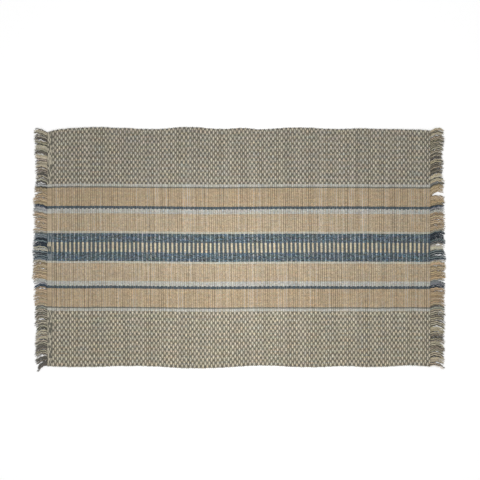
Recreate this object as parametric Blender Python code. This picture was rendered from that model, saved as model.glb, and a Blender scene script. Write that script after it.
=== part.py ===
"""Throw rug: a flat-woven cotton rug with thick crosswise ribs and a warp fringe at both ends.

Metres, +Z up, +X along the rug's length, the underside on z = 0.
Run it with: blender --background --python part.py
"""

import math
import random
from collections import namedtuple

import bmesh
import bpy

MM = 0.001

# Cloth
CLOTH_WIDTH = 686 * MM
RIB_COUNT = 176
RIB_PITCH = 6.11 * MM
RIB_CREST = 5.2 * MM
RIB_VALLEY = 3.6 * MM
RIB_UNEVEN = 0.25 * MM
RIB_SWAY = 3.6 * MM
SWELL_HEIGHT = 0.35 * MM
SWELL_LENGTH = 700 * MM
SWELL_WIDTH = 900 * MM
SELVEDGE_HEIGHT = 2.2 * MM
SELVEDGE_ROLL = 4 * MM
SCALLOP = 0.7 * MM
ROW_COUNT = 8

# Headings and fringe
HEADING_WIDTH = 10 * MM
HEADING_HEIGHT = 3.0 * MM
PARTING = 0.3 * MM
LOCK_COUNT = 60
STRANDS_PER_LOCK = 2
STRAND_WIDTH = 4.3 * MM
STRAND_TIP_WIDTH = 2.6 * MM
STRAND_TIP_HEIGHT = 1.2 * MM
STRAND_TOP_RATIO = 0.6
STRAND_STEPS = 4
STRAND_DRAW = 0.4 * MM
CREST_AT = 0.6
SLOPE_STEP = 0.01
REACH_UNEVEN = 2.2 * MM
TIP_UNEVEN = 0.45 * MM
SEED = 27

CLOTH_LENGTH = RIB_COUNT * RIB_PITCH
STRAND_COUNT = LOCK_COUNT * STRANDS_PER_LOCK

# How far each long edge lies outside its straight line, along the rug's length.
EdgeStop = namedtuple("EdgeStop", "x_mm out_mm")
FAR_EDGE = (
    EdgeStop(-549, -11.0),
    EdgeStop(-533, -5.9),
    EdgeStop(-500, -1.3),
    EdgeStop(-403, 3.0),
    EdgeStop(-330, 0.5),
    EdgeStop(-240, -1.9),
    EdgeStop(-145, 3.3),
    EdgeStop(-40, -1.4),
    EdgeStop(14, 1.2),
    EdgeStop(62, -2.7),
    EdgeStop(157, 2.2),
    EdgeStop(290, -2.2),
    EdgeStop(344, -0.2),
    EdgeStop(416, -1.6),
    EdgeStop(525, -4.0),
    EdgeStop(549, -7.0),
)
NEAR_EDGE = (
    EdgeStop(-549, -0.7),
    EdgeStop(-460, 1.6),
    EdgeStop(-303, -1.9),
    EdgeStop(-120, 5.0),
    EdgeStop(86, -2.4),
    EdgeStop(157, 1.6),
    EdgeStop(229, 1.9),
    EdgeStop(301, -1.0),
    EdgeStop(373, 1.6),
    EdgeStop(495, -2.2),
    EdgeStop(549, 0.4),
)

# How the fringe lies along each short end: its length, and how far sideways (to +Y) its strands
# have been swept at their crest and at their tip.
FringeStop = namedtuple("FringeStop", "y_mm reach_mm crest_mm tip_mm")
LEFT_FRINGE = (
    FringeStop(-343, 30, -8, -17),
    FringeStop(-285, 39, 2, -7),
    FringeStop(-230, 37, 4, -3),
    FringeStop(-158, 39, 4, -1),
    FringeStop(-101, 40, 5, 1),
    FringeStop(-20, 45, 5, 3),
    FringeStop(60, 44, 5, 5),
    FringeStop(125, 43, 6, 5),
    FringeStop(175, 37, 5, 2),
    FringeStop(221, 36, 7, 3),
    FringeStop(300, 40, 6, 6),
    FringeStop(343, 40, 11, 13),
)
RIGHT_FRINGE = (
    FringeStop(-343, 38, -1, -8),
    FringeStop(-300, 39, 3, -4),
    FringeStop(-240, 38, 4, -2),
    FringeStop(-158, 38, 4, 0),
    FringeStop(-78, 42, 5, 2),
    FringeStop(-20, 41, 7, 4),
    FringeStop(40, 40, 7, 5),
    FringeStop(100, 38, 6, 4),
    FringeStop(150, 37, 8, 7),
    FringeStop(204, 36, 10, 8),
    FringeStop(270, 36, 9, 6),
    FringeStop(343, 39, 9, 6),
)

# One strand's reach, crest and tip in metres, and how far it is drawn towards its lock's other strand.
Sweep = namedtuple("Sweep", "reach crest tip draw")


def clear_scene():
    """Remove whatever the start-up file holds."""
    for item in list(bpy.data.objects):
        bpy.data.objects.remove(item, do_unlink=True)


def read_table(table, place, column):
    """Read one column of a table at a place given in metres, easing from row to row."""
    spot = place / MM
    if spot <= table[0][0]:
        return getattr(table[0], column) * MM
    for near, far in zip(table, table[1:]):
        if spot <= far[0]:
            share = (spot - near[0]) / (far[0] - near[0])
            ease = share * share * (3 - 2 * share)
            low = getattr(near, column)
            return (low + (getattr(far, column) - low) * ease) * MM
    return getattr(table[-1], column) * MM


def far_edge(x):
    """The +Y edge of the cloth at this place along its length."""
    return CLOTH_WIDTH / 2 + read_table(FAR_EDGE, x, "out_mm")


def near_edge(x):
    """The -Y edge of the cloth at this place along its length."""
    return -CLOTH_WIDTH / 2 - read_table(NEAR_EDGE, x, "out_mm")


def rib_sway(x, y):
    """How far a rib has been pushed along the rug by the beater; nothing at the two ends."""
    hold = 1 - (2 * x / CLOTH_LENGTH) ** 2
    return -RIB_SWAY * hold * math.sin(math.pi * y / CLOTH_WIDTH)


def sheet_swell(x, y):
    """The low unevenness of a thick cloth that lies on a floor."""
    along = math.sin(2 * math.pi * (x + y / 4) / SWELL_LENGTH)
    across = math.cos(2 * math.pi * y / SWELL_WIDTH)
    return SWELL_HEIGHT * along * across


def make_material(name, colour, roughness):
    """A plain woven-cotton colour for one sub-part."""
    material = bpy.data.materials.new(name)
    material.use_nodes = True
    shader = material.node_tree.nodes["Principled BSDF"]
    shader.inputs["Base Color"].default_value = (*colour, 1)
    shader.inputs["Roughness"].default_value = roughness
    shader.inputs["Metallic"].default_value = 0
    return material


def finish_object(bm, name, collection, material):
    """Turn a bmesh into a named object in the rug's collection."""
    bmesh.ops.recalc_face_normals(bm, faces=bm.faces)
    mesh = bpy.data.meshes.new(name)
    bm.to_mesh(mesh)
    bm.free()
    mesh.materials.append(material)
    item = bpy.data.objects.new(name, mesh)
    collection.objects.link(item)
    return item


def row_places():
    """Where the lines of points run across the width, from 0 at the near edge to 1 at the far one."""
    roll = SELVEDGE_ROLL / CLOTH_WIDTH
    inner = ROW_COUNT - 2
    middle = [roll + (1 - 2 * roll) * row / inner for row in range(inner + 1)]
    return [0.0] + middle + [1.0]


def shape_cloth_point(column, row, rows, crests):
    """One point of the ribbed face: even columns are valleys, odd columns are crests."""
    x = -CLOTH_LENGTH / 2 + column * RIB_PITCH / 2
    on_crest = column % 2 == 1
    near = near_edge(x)
    far = far_edge(x)
    y = near + (far - near) * rows[row]
    at_edge = row in (0, len(rows) - 1)
    if at_edge:
        outward = -1 if row == 0 else 1
        y += outward * (SCALLOP if on_crest else -SCALLOP)
        z = SELVEDGE_HEIGHT
    else:
        z = crests[column // 2] if on_crest else RIB_VALLEY
        z += sheet_swell(x, y)
    return x + rib_sway(x, y), y, z


def build_cloth(collection):
    """The ribbed cloth: a grid shaped into ribs, given a flat underside by extruding it down."""
    chance = random.Random(SEED)
    crests = [RIB_CREST + chance.uniform(-RIB_UNEVEN, RIB_UNEVEN) for _ in range(RIB_COUNT)]
    columns = RIB_COUNT * 2
    rows = row_places()
    bm = bmesh.new()
    bmesh.ops.create_grid(bm, x_segments=columns, y_segments=ROW_COUNT, size=1)
    for vert in bm.verts:
        column = round((vert.co.x + 1) / 2 * columns)
        row = round((vert.co.y + 1) / 2 * ROW_COUNT)
        vert.co = shape_cloth_point(column, row, rows, crests)
    grown = bmesh.ops.extrude_face_region(bm, geom=list(bm.faces), use_keep_orig=True)
    floor_faces = [item for item in grown["geom"] if isinstance(item, bmesh.types.BMFace)]
    for item in grown["geom"]:
        if isinstance(item, bmesh.types.BMVert):
            item.co.z = 0
    bmesh.ops.dissolve_faces(bm, faces=floor_faces, use_verts=True)
    cotton = make_material("woven_cotton_field", (0.32, 0.29, 0.23), 0.9)
    return finish_object(bm, "rug_cloth", collection, cotton)


def strand_offset(share, sweep):
    """How far a strand lies to +Y of its root: a curve through its root, its crest and its tip."""
    rise = sweep.crest * share * (1 - share) / (CREST_AT * (1 - CREST_AT))
    fall = sweep.tip * share * (share - CREST_AT) / (1 - CREST_AT)
    return rise + fall + sweep.draw * math.sin(math.pi * share / 2)


def strand_section(side, root, share, sweep):
    """A strand's section, flat on the floor: its two lower corners, then its two upper ones."""
    here = strand_offset(share, sweep)
    ahead = strand_offset(share + SLOPE_STEP, sweep)
    slope = math.atan2(ahead - here, sweep.reach * SLOPE_STEP)
    lower = (STRAND_WIDTH + (STRAND_TIP_WIDTH - STRAND_WIDTH) * share) / 2
    upper = lower * STRAND_TOP_RATIO
    height = HEADING_HEIGHT + (STRAND_TIP_HEIGHT - HEADING_HEIGHT) * share
    corners = []
    for across, z in ((-lower, 0), (lower, 0), (-upper, height), (upper, height)):
        x = root[0] + side * (sweep.reach * share - across * math.sin(slope))
        y = root[1] + here + across * math.cos(slope)
        corners.append((x, y, z))
    return corners


def grow_strand(bm, root_face, side, root, sweep):
    """Extrude one root face of the heading, section by section, out to the strand's tip."""
    face = root_face
    for step in range(1, STRAND_STEPS + 1):
        made = bmesh.ops.extrude_discrete_faces(bm, faces=[face])
        face = made["faces"][0]
        low_to_high = sorted(face.verts, key=lambda vert: (vert.co.z, vert.co.y))
        section = strand_section(side, root, step / STRAND_STEPS, sweep)
        for vert, place in zip(low_to_high, section):
            vert.co = place


def at_outer(vert, outer_x):
    """Whether a point of the heading lies on its outer side, where the strands grow."""
    return abs(vert.co.x - outer_x) < PARTING / 2


def build_heading(bm, side):
    """Make the heading strip and return the faces of its outer side that are the strands' roots."""
    inner_x = side * (CLOTH_LENGTH / 2 + PARTING)
    outer_x = inner_x + side * HEADING_WIDTH
    near = near_edge(outer_x)
    pitch = (far_edge(outer_x) - near) / STRAND_COUNT
    margin = (pitch - STRAND_WIDTH) / 2

    bmesh.ops.create_grid(bm, x_segments=1, y_segments=1, size=1)
    for vert in bm.verts:
        x = outer_x if vert.co.x > 0 else inner_x
        vert.co = (x, far_edge(x) if vert.co.y > 0 else near_edge(x), 0)
    outer_edges = [edge for edge in bm.edges if all(at_outer(vert, outer_x) for vert in edge.verts)]
    bmesh.ops.subdivide_edges(bm, edges=outer_edges, cuts=2 * STRAND_COUNT)
    outer_verts = [vert for vert in bm.verts if at_outer(vert, outer_x)]
    outer_verts.sort(key=lambda vert: vert.co.y)
    for index, vert in enumerate(outer_verts[1:-1]):
        inset = margin if index % 2 == 0 else pitch - margin
        vert.co.y = near + index // 2 * pitch + inset

    grown = bmesh.ops.extrude_face_region(bm, geom=list(bm.faces), use_keep_orig=True)
    for item in grown["geom"]:
        if isinstance(item, bmesh.types.BMVert):
            item.co.z = HEADING_HEIGHT
    roots = []
    for first, second in zip(outer_verts[1:-1:2], outer_verts[2:-1:2]):
        foot = bm.edges.get((first, second))
        roots.append(next(face for face in foot.link_faces if len(face.verts) == 4))
    return roots


def build_fringe(collection, name, side, table, material):
    """A heading with its strands, one solid, at the rug's left end (side -1) or right end (side 1)."""
    chance = random.Random(SEED + side)
    bm = bmesh.new()
    for strand, root_face in enumerate(build_heading(bm, side)):
        root = root_face.calc_center_median()
        toward_mate = 1 if strand % STRANDS_PER_LOCK == 0 else -1
        sweep = Sweep(
            reach=read_table(table, root.y, "reach_mm") + chance.uniform(-REACH_UNEVEN, REACH_UNEVEN),
            crest=read_table(table, root.y, "crest_mm"),
            tip=read_table(table, root.y, "tip_mm") + chance.uniform(-TIP_UNEVEN, TIP_UNEVEN),
            draw=toward_mate * STRAND_DRAW,
        )
        grow_strand(bm, root_face, side, root, sweep)
    return finish_object(bm, name, collection, material)


def main():
    clear_scene()
    rug = bpy.data.collections.new("throw_rug")
    bpy.context.scene.collection.children.link(rug)
    build_cloth(rug)
    left_yarn = make_material("cotton_fringe_left", (0.28, 0.25, 0.2), 0.92)
    right_yarn = make_material("cotton_fringe_right", (0.3, 0.26, 0.2), 0.92)
    build_fringe(rug, "fringe_left", -1, LEFT_FRINGE, left_yarn)
    build_fringe(rug, "fringe_right", 1, RIGHT_FRINGE, right_yarn)


main()
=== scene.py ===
# %% [markdown]
# # A flat-woven cotton throw rug
#
# The rug is a rep weave. Thick soft wefts lie across it and make the ribs, and thin warps run along it,
# side by side, and cover them. So the warps give all the colour: plain stripes where neighbours are
# alike, and checks where two sets of warps take turns on top from one rib to the next. Each short end
# has a narrow heading, of thin wefts on the left and of two more ribs on the right, and beyond it the
# warps run out as the fringe.
#
# The script follows the same order as the loom: the stripes are planned, the ribbed cloth is made, then
# the headings and the fringe, and last the floor, the light and the camera.

import math
from collections import namedtuple

import bpy
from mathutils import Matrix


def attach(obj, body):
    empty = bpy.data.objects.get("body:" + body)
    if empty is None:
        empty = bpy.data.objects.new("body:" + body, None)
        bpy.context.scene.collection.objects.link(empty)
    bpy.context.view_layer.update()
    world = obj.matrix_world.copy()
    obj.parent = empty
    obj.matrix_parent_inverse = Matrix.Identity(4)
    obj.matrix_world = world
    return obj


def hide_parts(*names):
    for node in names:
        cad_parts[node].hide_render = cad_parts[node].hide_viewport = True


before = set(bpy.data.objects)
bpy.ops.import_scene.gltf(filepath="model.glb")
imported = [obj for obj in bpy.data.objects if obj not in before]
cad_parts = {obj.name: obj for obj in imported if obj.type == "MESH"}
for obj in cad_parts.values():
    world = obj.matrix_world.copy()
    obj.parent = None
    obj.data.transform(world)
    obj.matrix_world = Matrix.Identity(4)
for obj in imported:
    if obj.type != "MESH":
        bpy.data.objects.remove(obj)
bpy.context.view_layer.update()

# %% [markdown]
# ## Sizes
#
# The cloth's width, the count of ribs and their pitch are those of the part's source. The ribs here are
# a little deeper than the solid's, and the headings are as wide as a finer look at the photo gave. The
# cloth is 27 inches wide. The photo shows 176 ribs, and a check is six warps high, which gives the warps
# a width of about one and a half millimetres, a common size for the doubled cotton of a rug like this.

# %% Sizes of the rug
MM = 0.001
CLOTH_WIDTH = 686 * MM
RIB_COUNT = 176
RIB_PITCH = 6.11 * MM
CLOTH_LENGTH = RIB_COUNT * RIB_PITCH
RIB_CREST = 5.3 * MM
RIB_VALLEY = 3.3 * MM
HEADING_WIDTHS = {-1: 14.5 * MM, 1: 11 * MM}
HEADING_CREST = 3.3 * MM
PARTING = 0.3 * MM
WARP_PITCH = 1.455 * MM
CHECK_WARPS = 6
WARP_COUNT = round(CLOTH_WIDTH / WARP_PITCH)
print("warps across the cloth:", WARP_COUNT)

# %% [markdown]
# ## Two small tools
#
# Colours are written as they look on a screen. Blender mixes light in linear values, so one function
# turns a hex colour into those. The other function adds one node to a tree, sets it and links it. A
# node that is given as an input stands for its own first output, and a single word in place of the
# settings is the node's operation.


# %% Colour and node tools
def linear(hex_colour):
    """A screen colour such as '#b8a285' as linear red, green, blue and alpha."""
    channels = [int(hex_colour[place : place + 2], 16) / 255 for place in (1, 3, 5)]
    return [c / 12.92 if c <= 0.04045 else ((c + 0.055) / 1.055) ** 2.4 for c in channels] + [1.0]


def add(tree, kind, settings=None, inputs=None):
    """Add a node, set its properties, and fill its inputs by place or name with values or links."""
    node = tree.nodes.new(kind)
    if isinstance(settings, str):
        settings = {"operation": settings}
    for name, value in (settings or {}).items():
        setattr(node, name, value)
    pairs = inputs.items() if isinstance(inputs, dict) else enumerate(inputs or [])
    for place, value in pairs:
        if isinstance(value, bpy.types.Node):
            value = value.outputs[0]
        if isinstance(value, bpy.types.NodeSocket):
            tree.links.new(value, node.inputs[place])
        elif value is not None:
            node.inputs[place].default_value = value
    return node


MATH = "ShaderNodeMath"
VECTOR = "ShaderNodeVectorMath"
SMOOTH = {"interpolation_type": "SMOOTHSTEP"}
print("white is", linear("#ffffff"))

# %% [markdown]
# ## The stripes
#
# The weaver plans the stripes by counting whole warps out from the middle, and the rug is the same on
# both sides of it. Each stripe has two sets of warps. On even ribs one set is on top, and on odd ribs
# the other. Where the two are alike the stripe is plain. In the middle band a cream set and a navy set
# give the row of bars. `late` is how many warps further out a stripe starts on odd ribs, and below zero
# it starts further in. The middle of the stripes lies a warp nearer to the viewer than the cloth's.
#
# Each row of the plan also says how its cloth looks. `cover` is the share of a rib that its own set
# covers, because a thin weft alternates with a thick one in the middle band. `flecks` is how mixed the
# yarn is, and `weft` is how clearly the weft shows in the valleys between the ribs, together with the
# painted shade that darkens those valleys. `loose` and `loose_dark` are the colours of the same warps in
# the fringe, where they aren't mixed with the weft.

# %% The stripe plan
Stripe = namedtuple("Stripe", "name from_warp late even odd cover flecks weft loose loose_dark")
STRIPE_CENTRE = -1.45
STRIPES = (
    Stripe("cream bars", 0, 0, "#bdb39a", "#4a5358", 0.82, 0.25, 0.2, "#b5ae9c", "#26323c"),
    Stripe("blue band", 10, 0, "#80878a", "#45545c", 0.43, 0.78, 0.15, "#6f797d", "#1b2833"),
    Stripe("pale line", 28, 0, "#b0ada0", "#aaa799", 1.0, 0.15, 0.4, "#b0ac9f", "#7f7a6c"),
    Stripe("inner tan", 32, 0, "#ab9a80", "#aa9980", 1.0, 0.2, 0.9, "#b6a183", "#94836a"),
    Stripe("pale stripe", 67, 0, "#aaaaa3", "#a9a8a1", 1.0, 0.2, 0.7, "#adadab", "#74797f"),
    Stripe("navy line", 77, -1, "#444f56", "#3c4951", 1.0, 0.2, 0.4, "#36424e", "#232c36"),
    Stripe("outer tan", 82, 0, "#a79478", "#a69378", 1.0, 0.2, 0.9, "#b6a183", "#94836a"),
    Stripe("grey line", 118, 0, "#6b6a61", "#65645c", 1.0, 0.15, 0.45, "#6a675e", "#3b3933"),
    Stripe("outer pale", 121, 0, "#b2b1a8", "#adaca3", 1.0, 0.15, 0.75, "#a8a79f", "#70726c"),
    Stripe("checks", 126, 0, "#bcb4a0", "#5b5950", 0.76, 0.25, 0.3, "#b2a892", "#55524a"),
)
CHECK_FROM = (STRIPES[-1].from_warp - 0.5) * WARP_PITCH / MM
print("stripes on each side of the middle:", [stripe.name for stripe in STRIPES])

# %% [markdown]
# The plan becomes one group of nodes that every cotton material shares: give it a place across the rug
# in millimetres, and it gives what the plan says there. A colour ramp with hard steps is the simplest
# such list, because each stop is one stripe. Blender reads such a ramp at 256 places, so the warps are
# scaled to fall on one place each. Three plain numbers fit in one more ramp, one in each of its colour
# channels.


# %% The stripe group
RAMP_PLACES = 256


def make_stripe_group():
    """Build the node group that turns a place across the rug into what the stripe plan says there."""
    group = bpy.data.node_groups.new("stripe plan", "ShaderNodeTree")
    group.interface.new_socket("Across mm", in_out="INPUT", socket_type="NodeSocketFloat")
    for name in ("Even set", "Odd set", "Loose light", "Loose dark"):
        group.interface.new_socket(name, in_out="OUTPUT", socket_type="NodeSocketColor")
    for name in ("Cover", "Flecks", "Weft", "In checks"):
        group.interface.new_socket(name, in_out="OUTPUT", socket_type="NodeSocketFloat")
    given = add(group, "NodeGroupInput")
    result = add(group, "NodeGroupOutput")
    centred = add(group, MATH, "SUBTRACT", [given.outputs["Across mm"], STRIPE_CENTRE])
    out_from_middle = add(group, MATH, "ABSOLUTE", [centred])
    warps_out = add(group, MATH, "MULTIPLY_ADD", [out_from_middle, MM / WARP_PITCH, 0.5])
    share = add(group, MATH, "DIVIDE", [warps_out, RAMP_PLACES - 1.0])
    columns = (
        (0.0, [linear(stripe.even) for stripe in STRIPES]),
        (1.0, [linear(stripe.odd) for stripe in STRIPES]),
        (0.0, [linear(stripe.loose) for stripe in STRIPES]),
        (0.0, [linear(stripe.loose_dark) for stripe in STRIPES]),
        (0.0, [(stripe.cover, stripe.flecks, stripe.weft, 1.0) for stripe in STRIPES]),
    )
    for number, (late_share, colours) in enumerate(columns):
        ramp = add(group, "ShaderNodeValToRGB", inputs=[share])
        ramp.color_ramp.interpolation = "CONSTANT"
        stops = ramp.color_ramp.elements
        stops.remove(stops[1])
        for place, stripe in enumerate(STRIPES):
            position = (stripe.from_warp + late_share * stripe.late - 0.5) / RAMP_PLACES
            stop = stops[0] if place == 0 else stops.new(position)
            stop.color = colours[place]
        if number < len(columns) - 1:
            group.links.new(ramp.outputs["Color"], result.inputs[number])
    numbers = add(group, "ShaderNodeSeparateColor", inputs=[ramp.outputs["Color"]])
    for channel, name in (("Red", "Cover"), ("Green", "Flecks"), ("Blue", "Weft")):
        group.links.new(numbers.outputs[channel], result.inputs[name])
    checks = add(group, MATH, "GREATER_THAN", [out_from_middle, CHECK_FROM])
    group.links.new(checks.outputs[0], result.inputs["In checks"])
    return group


stripe_group = make_stripe_group()
print("stripe plan nodes:", len(stripe_group.nodes))

# %% [markdown]
# ## The outline
#
# The long edges of a woven rug are never quite straight. These short tables say how far each one lies
# outside its straight line, and Float Curve nodes will read them while the cloth is shaped. The third
# table says how far the stripes in the middle have slid towards the far edge.

# %% Edge tables and their curves
EdgeStop = namedtuple("EdgeStop", "x_mm out_mm")
FAR_EDGE = (
    EdgeStop(-549, -13.4),
    EdgeStop(-533, -8.3),
    EdgeStop(-500, -3.7),
    EdgeStop(-403, 0.6),
    EdgeStop(-330, -1.9),
    EdgeStop(-240, -4.3),
    EdgeStop(-145, 0.9),
    EdgeStop(-40, -3.8),
    EdgeStop(14, -1.2),
    EdgeStop(62, -5.1),
    EdgeStop(157, -0.2),
    EdgeStop(290, -4.6),
    EdgeStop(344, -2.6),
    EdgeStop(416, -4.0),
    EdgeStop(525, -6.4),
    EdgeStop(549, -9.4),
)
NEAR_EDGE = (
    EdgeStop(-549, -0.7),
    EdgeStop(-460, 1.6),
    EdgeStop(-303, -1.9),
    EdgeStop(-120, 5.0),
    EdgeStop(86, -2.4),
    EdgeStop(157, 1.6),
    EdgeStop(229, 1.9),
    EdgeStop(301, -1.0),
    EdgeStop(373, 1.6),
    EdgeStop(495, -2.2),
    EdgeStop(549, 0.4),
)
DriftStop = namedtuple("DriftStop", "x_mm far_mm")
MIDDLE_DRIFT = (
    DriftStop(-549, 1.8),
    DriftStop(-460, 1.2),
    DriftStop(-330, 0.9),
    DriftStop(-231, 0.0),
    DriftStop(-150, -1.2),
    DriftStop(-30, -1.2),
    DriftStop(99, -0.5),
    DriftStop(298, -0.2),
    DriftStop(430, -0.9),
    DriftStop(549, -1.1),
)
CURVE_LOWEST = -20
CURVE_SPAN = 80


def fill_curve(node, table, column):
    """Lay one column of a table into a Float Curve, its places and values both brought to 0 to 1."""
    first, last = table[0][0], table[-1][0]
    curve = node.mapping.curves[0]
    for number, row in enumerate(table):
        place = (row[0] - first) / (last - first)
        value = (getattr(row, column) - CURVE_LOWEST) / CURVE_SPAN
        if number == 0:
            curve.points[0].location = (place, value)
        elif number == len(table) - 1:
            curve.points[-1].location = (place, value)
        else:
            curve.points.new(place, value)
    node.mapping.update()


def add_table(tree, table, column, share):
    """Add nodes that read a table's column, in metres, at a share of its length."""
    curve = add(tree, "ShaderNodeFloatCurve", inputs={"Value": share})
    fill_curve(curve, table, column)
    return add(tree, MATH, "MULTIPLY_ADD", [curve, CURVE_SPAN * MM, CURVE_LOWEST * MM])


print("edge stops:", len(FAR_EDGE), "and", len(NEAR_EDGE))

# %% [markdown]
# ## How the ribbed sheet is made
#
# A rib could be modelled once and copied, but the ribs of one cloth sway together and share one
# surface. So the sheet starts as a flat grid and a rule moves each of its points: a rounded rib profile
# along the rug, a beater's sway across it, and the wandering edges. The rule is kept as Geometry Nodes
# with named sizes, because the headings at the ends are the same thing with fewer and thinner ribs.
#
# Two copies of the grid become the face and the back. Both are pressed to the same middle line at the
# rim, so that they join there in a soft rounded edge.
#
# Before a point moves, it is told its place on the loom: how many ribs along, and how many millimetres
# across. The materials read that as the attribute `weave`, so stripes and checks follow the cloth.

# %% The woven sheet tree: its inputs
SHEET_INPUTS = (
    ("Centre X", "NodeSocketFloat"),
    ("Length", "NodeSocketFloat"),
    ("Width", "NodeSocketFloat"),
    ("Ribs", "NodeSocketInt"),
    ("Columns per Rib", "NodeSocketInt"),
    ("Rows", "NodeSocketInt"),
    ("Crest", "NodeSocketFloat"),
    ("Valley", "NodeSocketFloat"),
    ("Back Relief", "NodeSocketFloat"),
    ("Middle Height", "NodeSocketFloat"),
    ("Rim Roll", "NodeSocketFloat"),
    ("End Roll", "NodeSocketFloat"),
    ("Rib Unevenness", "NodeSocketFloat"),
    ("First Rib", "NodeSocketFloat"),
    ("Bake Along", "NodeSocketVector"),
    ("Bake Across", "NodeSocketVector"),
    ("Bake Face Corner", "NodeSocketVector"),
    ("Bake Back Corner", "NodeSocketVector"),
    ("Bake Back Scale", "NodeSocketFloat"),
    ("Seed", "NodeSocketInt"),
    ("Cotton", "NodeSocketMaterial"),
)
RIB_SWAY = 3.6 * MM
SWELL_HEIGHT = 0.35 * MM
SWELL_LENGTH = 700 * MM
SWELL_WIDTH = 900 * MM
SWELL_SLANT = 0.25
SCALLOP = 2.0 * MM
SCALLOP_LUCK = 0.35
WANDER = 2.2 * MM
WANDERS_PER_METRE = 7.0
ROW_CROWDING = 0.85
RIB_ROUNDNESS = 0.7
END_DROP = 0.3 * MM
EDGE_REACH = 3
SELVEDGE_REACH = 60.0
WELD = 0.02 * MM


def start_tree(name, sockets):
    """A new Geometry Nodes tree with one geometry output and the given named inputs."""
    tree = bpy.data.node_groups.new(name, "GeometryNodeTree")
    tree.interface.new_socket("Geometry", in_out="OUTPUT", socket_type="NodeSocketGeometry")
    for socket_name, kind in sockets:
        tree.interface.new_socket(socket_name, in_out="INPUT", socket_type=kind)
    return tree, add(tree, "NodeGroupInput").outputs, add(tree, "NodeGroupOutput")


sheet_tree, size, sheet_result = start_tree("woven sheet", SHEET_INPUTS)
print("woven sheet inputs:", len(SHEET_INPUTS))

# %% The woven sheet tree: places on the loom
tree = sheet_tree
rib_steps = add(tree, MATH, "MULTIPLY", [size["Ribs"], size["Columns per Rib"]])
columns = add(tree, MATH, "ADD", [rib_steps, 1.0])
grid = add(
    tree,
    "GeometryNodeMeshGrid",
    inputs={"Size X": 1.0, "Size Y": 1.0, "Vertices X": columns, "Vertices Y": size["Rows"]},
)
spot = add(tree, "ShaderNodeSeparateXYZ", inputs=[add(tree, "GeometryNodeInputPosition")])
along = add(tree, MATH, "ADD", [spot.outputs["X"], 0.5])
row_share = add(tree, MATH, "ADD", [spot.outputs["Y"], 0.5])
row_turn = add(tree, MATH, "MULTIPLY", [row_share, 2 * math.pi])
row_wave = add(tree, MATH, "SINE", [row_turn])
row_shift = add(tree, MATH, "MULTIPLY", [row_wave, ROW_CROWDING / (2 * math.pi)])
across = add(tree, MATH, "SUBTRACT", [row_share, row_shift])
ribs_along = add(tree, MATH, "MULTIPLY", [along, size["Ribs"]])
rib_place = add(tree, MATH, "ADD", [ribs_along, size["First Rib"]])
centred_across = add(tree, MATH, "SUBTRACT", [across, 0.5])
loom_y = add(tree, MATH, "MULTIPLY", [centred_across, size["Width"]])
loom_mm = add(tree, MATH, "DIVIDE", [loom_y, MM])
centred_along = add(tree, MATH, "SUBTRACT", [along, 0.5])
loom_x = add(tree, MATH, "MULTIPLY_ADD", [centred_along, size["Length"], size["Centre X"]])
weave_place = add(tree, "ShaderNodeCombineXYZ", inputs=[rib_place, loom_mm, 0.0])
told = add(
    tree,
    "GeometryNodeStoreNamedAttribute",
    {"data_type": "FLOAT_VECTOR", "domain": "POINT"},
    {"Geometry": grid.outputs["Mesh"], "Name": "weave", "Value": weave_place},
)
print("rows crowd towards the long edges, where the selvedge rolls over")

# %% [markdown]
# The rib's profile is a sine bump made squarer by a power under one, so that the ribs are full and the
# valleys between them narrow. Each rib has its own random height, because wefts are never all alike.

# %% The woven sheet tree: heights
rib_turn = add(tree, MATH, "MULTIPLY", [ribs_along, math.pi])
rib_sine = add(tree, MATH, "SINE", [rib_turn])
rib_wave = add(tree, MATH, "ABSOLUTE", [rib_sine])
profile = add(tree, MATH, "POWER", [rib_wave, RIB_ROUNDNESS])
nudged = add(tree, MATH, "ADD", [ribs_along, 0.001])
rib_number = add(tree, MATH, "FLOOR", [nudged])
uneven = add(
    tree,
    "FunctionNodeRandomValue",
    {"data_type": "FLOAT"},
    {"Min": -1.0, "Max": 1.0, "ID": rib_number, "Seed": size["Seed"]},
)
uneven_crest = add(
    tree, MATH, "MULTIPLY_ADD", [uneven.outputs[1], size["Rib Unevenness"], size["Crest"]]
)
rise = add(tree, MATH, "SUBTRACT", [uneven_crest, size["Valley"]])
ribbed = add(tree, MATH, "MULTIPLY_ADD", [profile, rise, size["Valley"]])
slanted = add(tree, MATH, "MULTIPLY_ADD", [loom_y, SWELL_SLANT, loom_x])
swell_turn = add(tree, MATH, "MULTIPLY", [slanted, 2 * math.pi / SWELL_LENGTH])
swell_along = add(tree, MATH, "SINE", [swell_turn])
swell_side_turn = add(tree, MATH, "MULTIPLY", [loom_y, 2 * math.pi / SWELL_WIDTH])
swell_across = add(tree, MATH, "COSINE", [swell_side_turn])
swell_shape = add(tree, MATH, "MULTIPLY", [swell_along, swell_across])
face_height = add(tree, MATH, "MULTIPLY_ADD", [swell_shape, SWELL_HEIGHT, ribbed])
under_profile = add(tree, MATH, "SUBTRACT", [1.0, profile])
back_height = add(tree, MATH, "MULTIPLY", [under_profile, size["Back Relief"]])
print("ribs rise", round((RIB_CREST - RIB_VALLEY) / MM, 2), "mm above the valleys")

# %% [markdown]
# At the rim the face and the back both roll in to meet along a quarter circle. Along the long edges
# they meet at the middle height and the roll is a few millimetres wide, as at a selvedge, where the
# weft turns back. At the two ends they meet just under the valleys, so the seam looks like one valley
# more.

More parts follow.
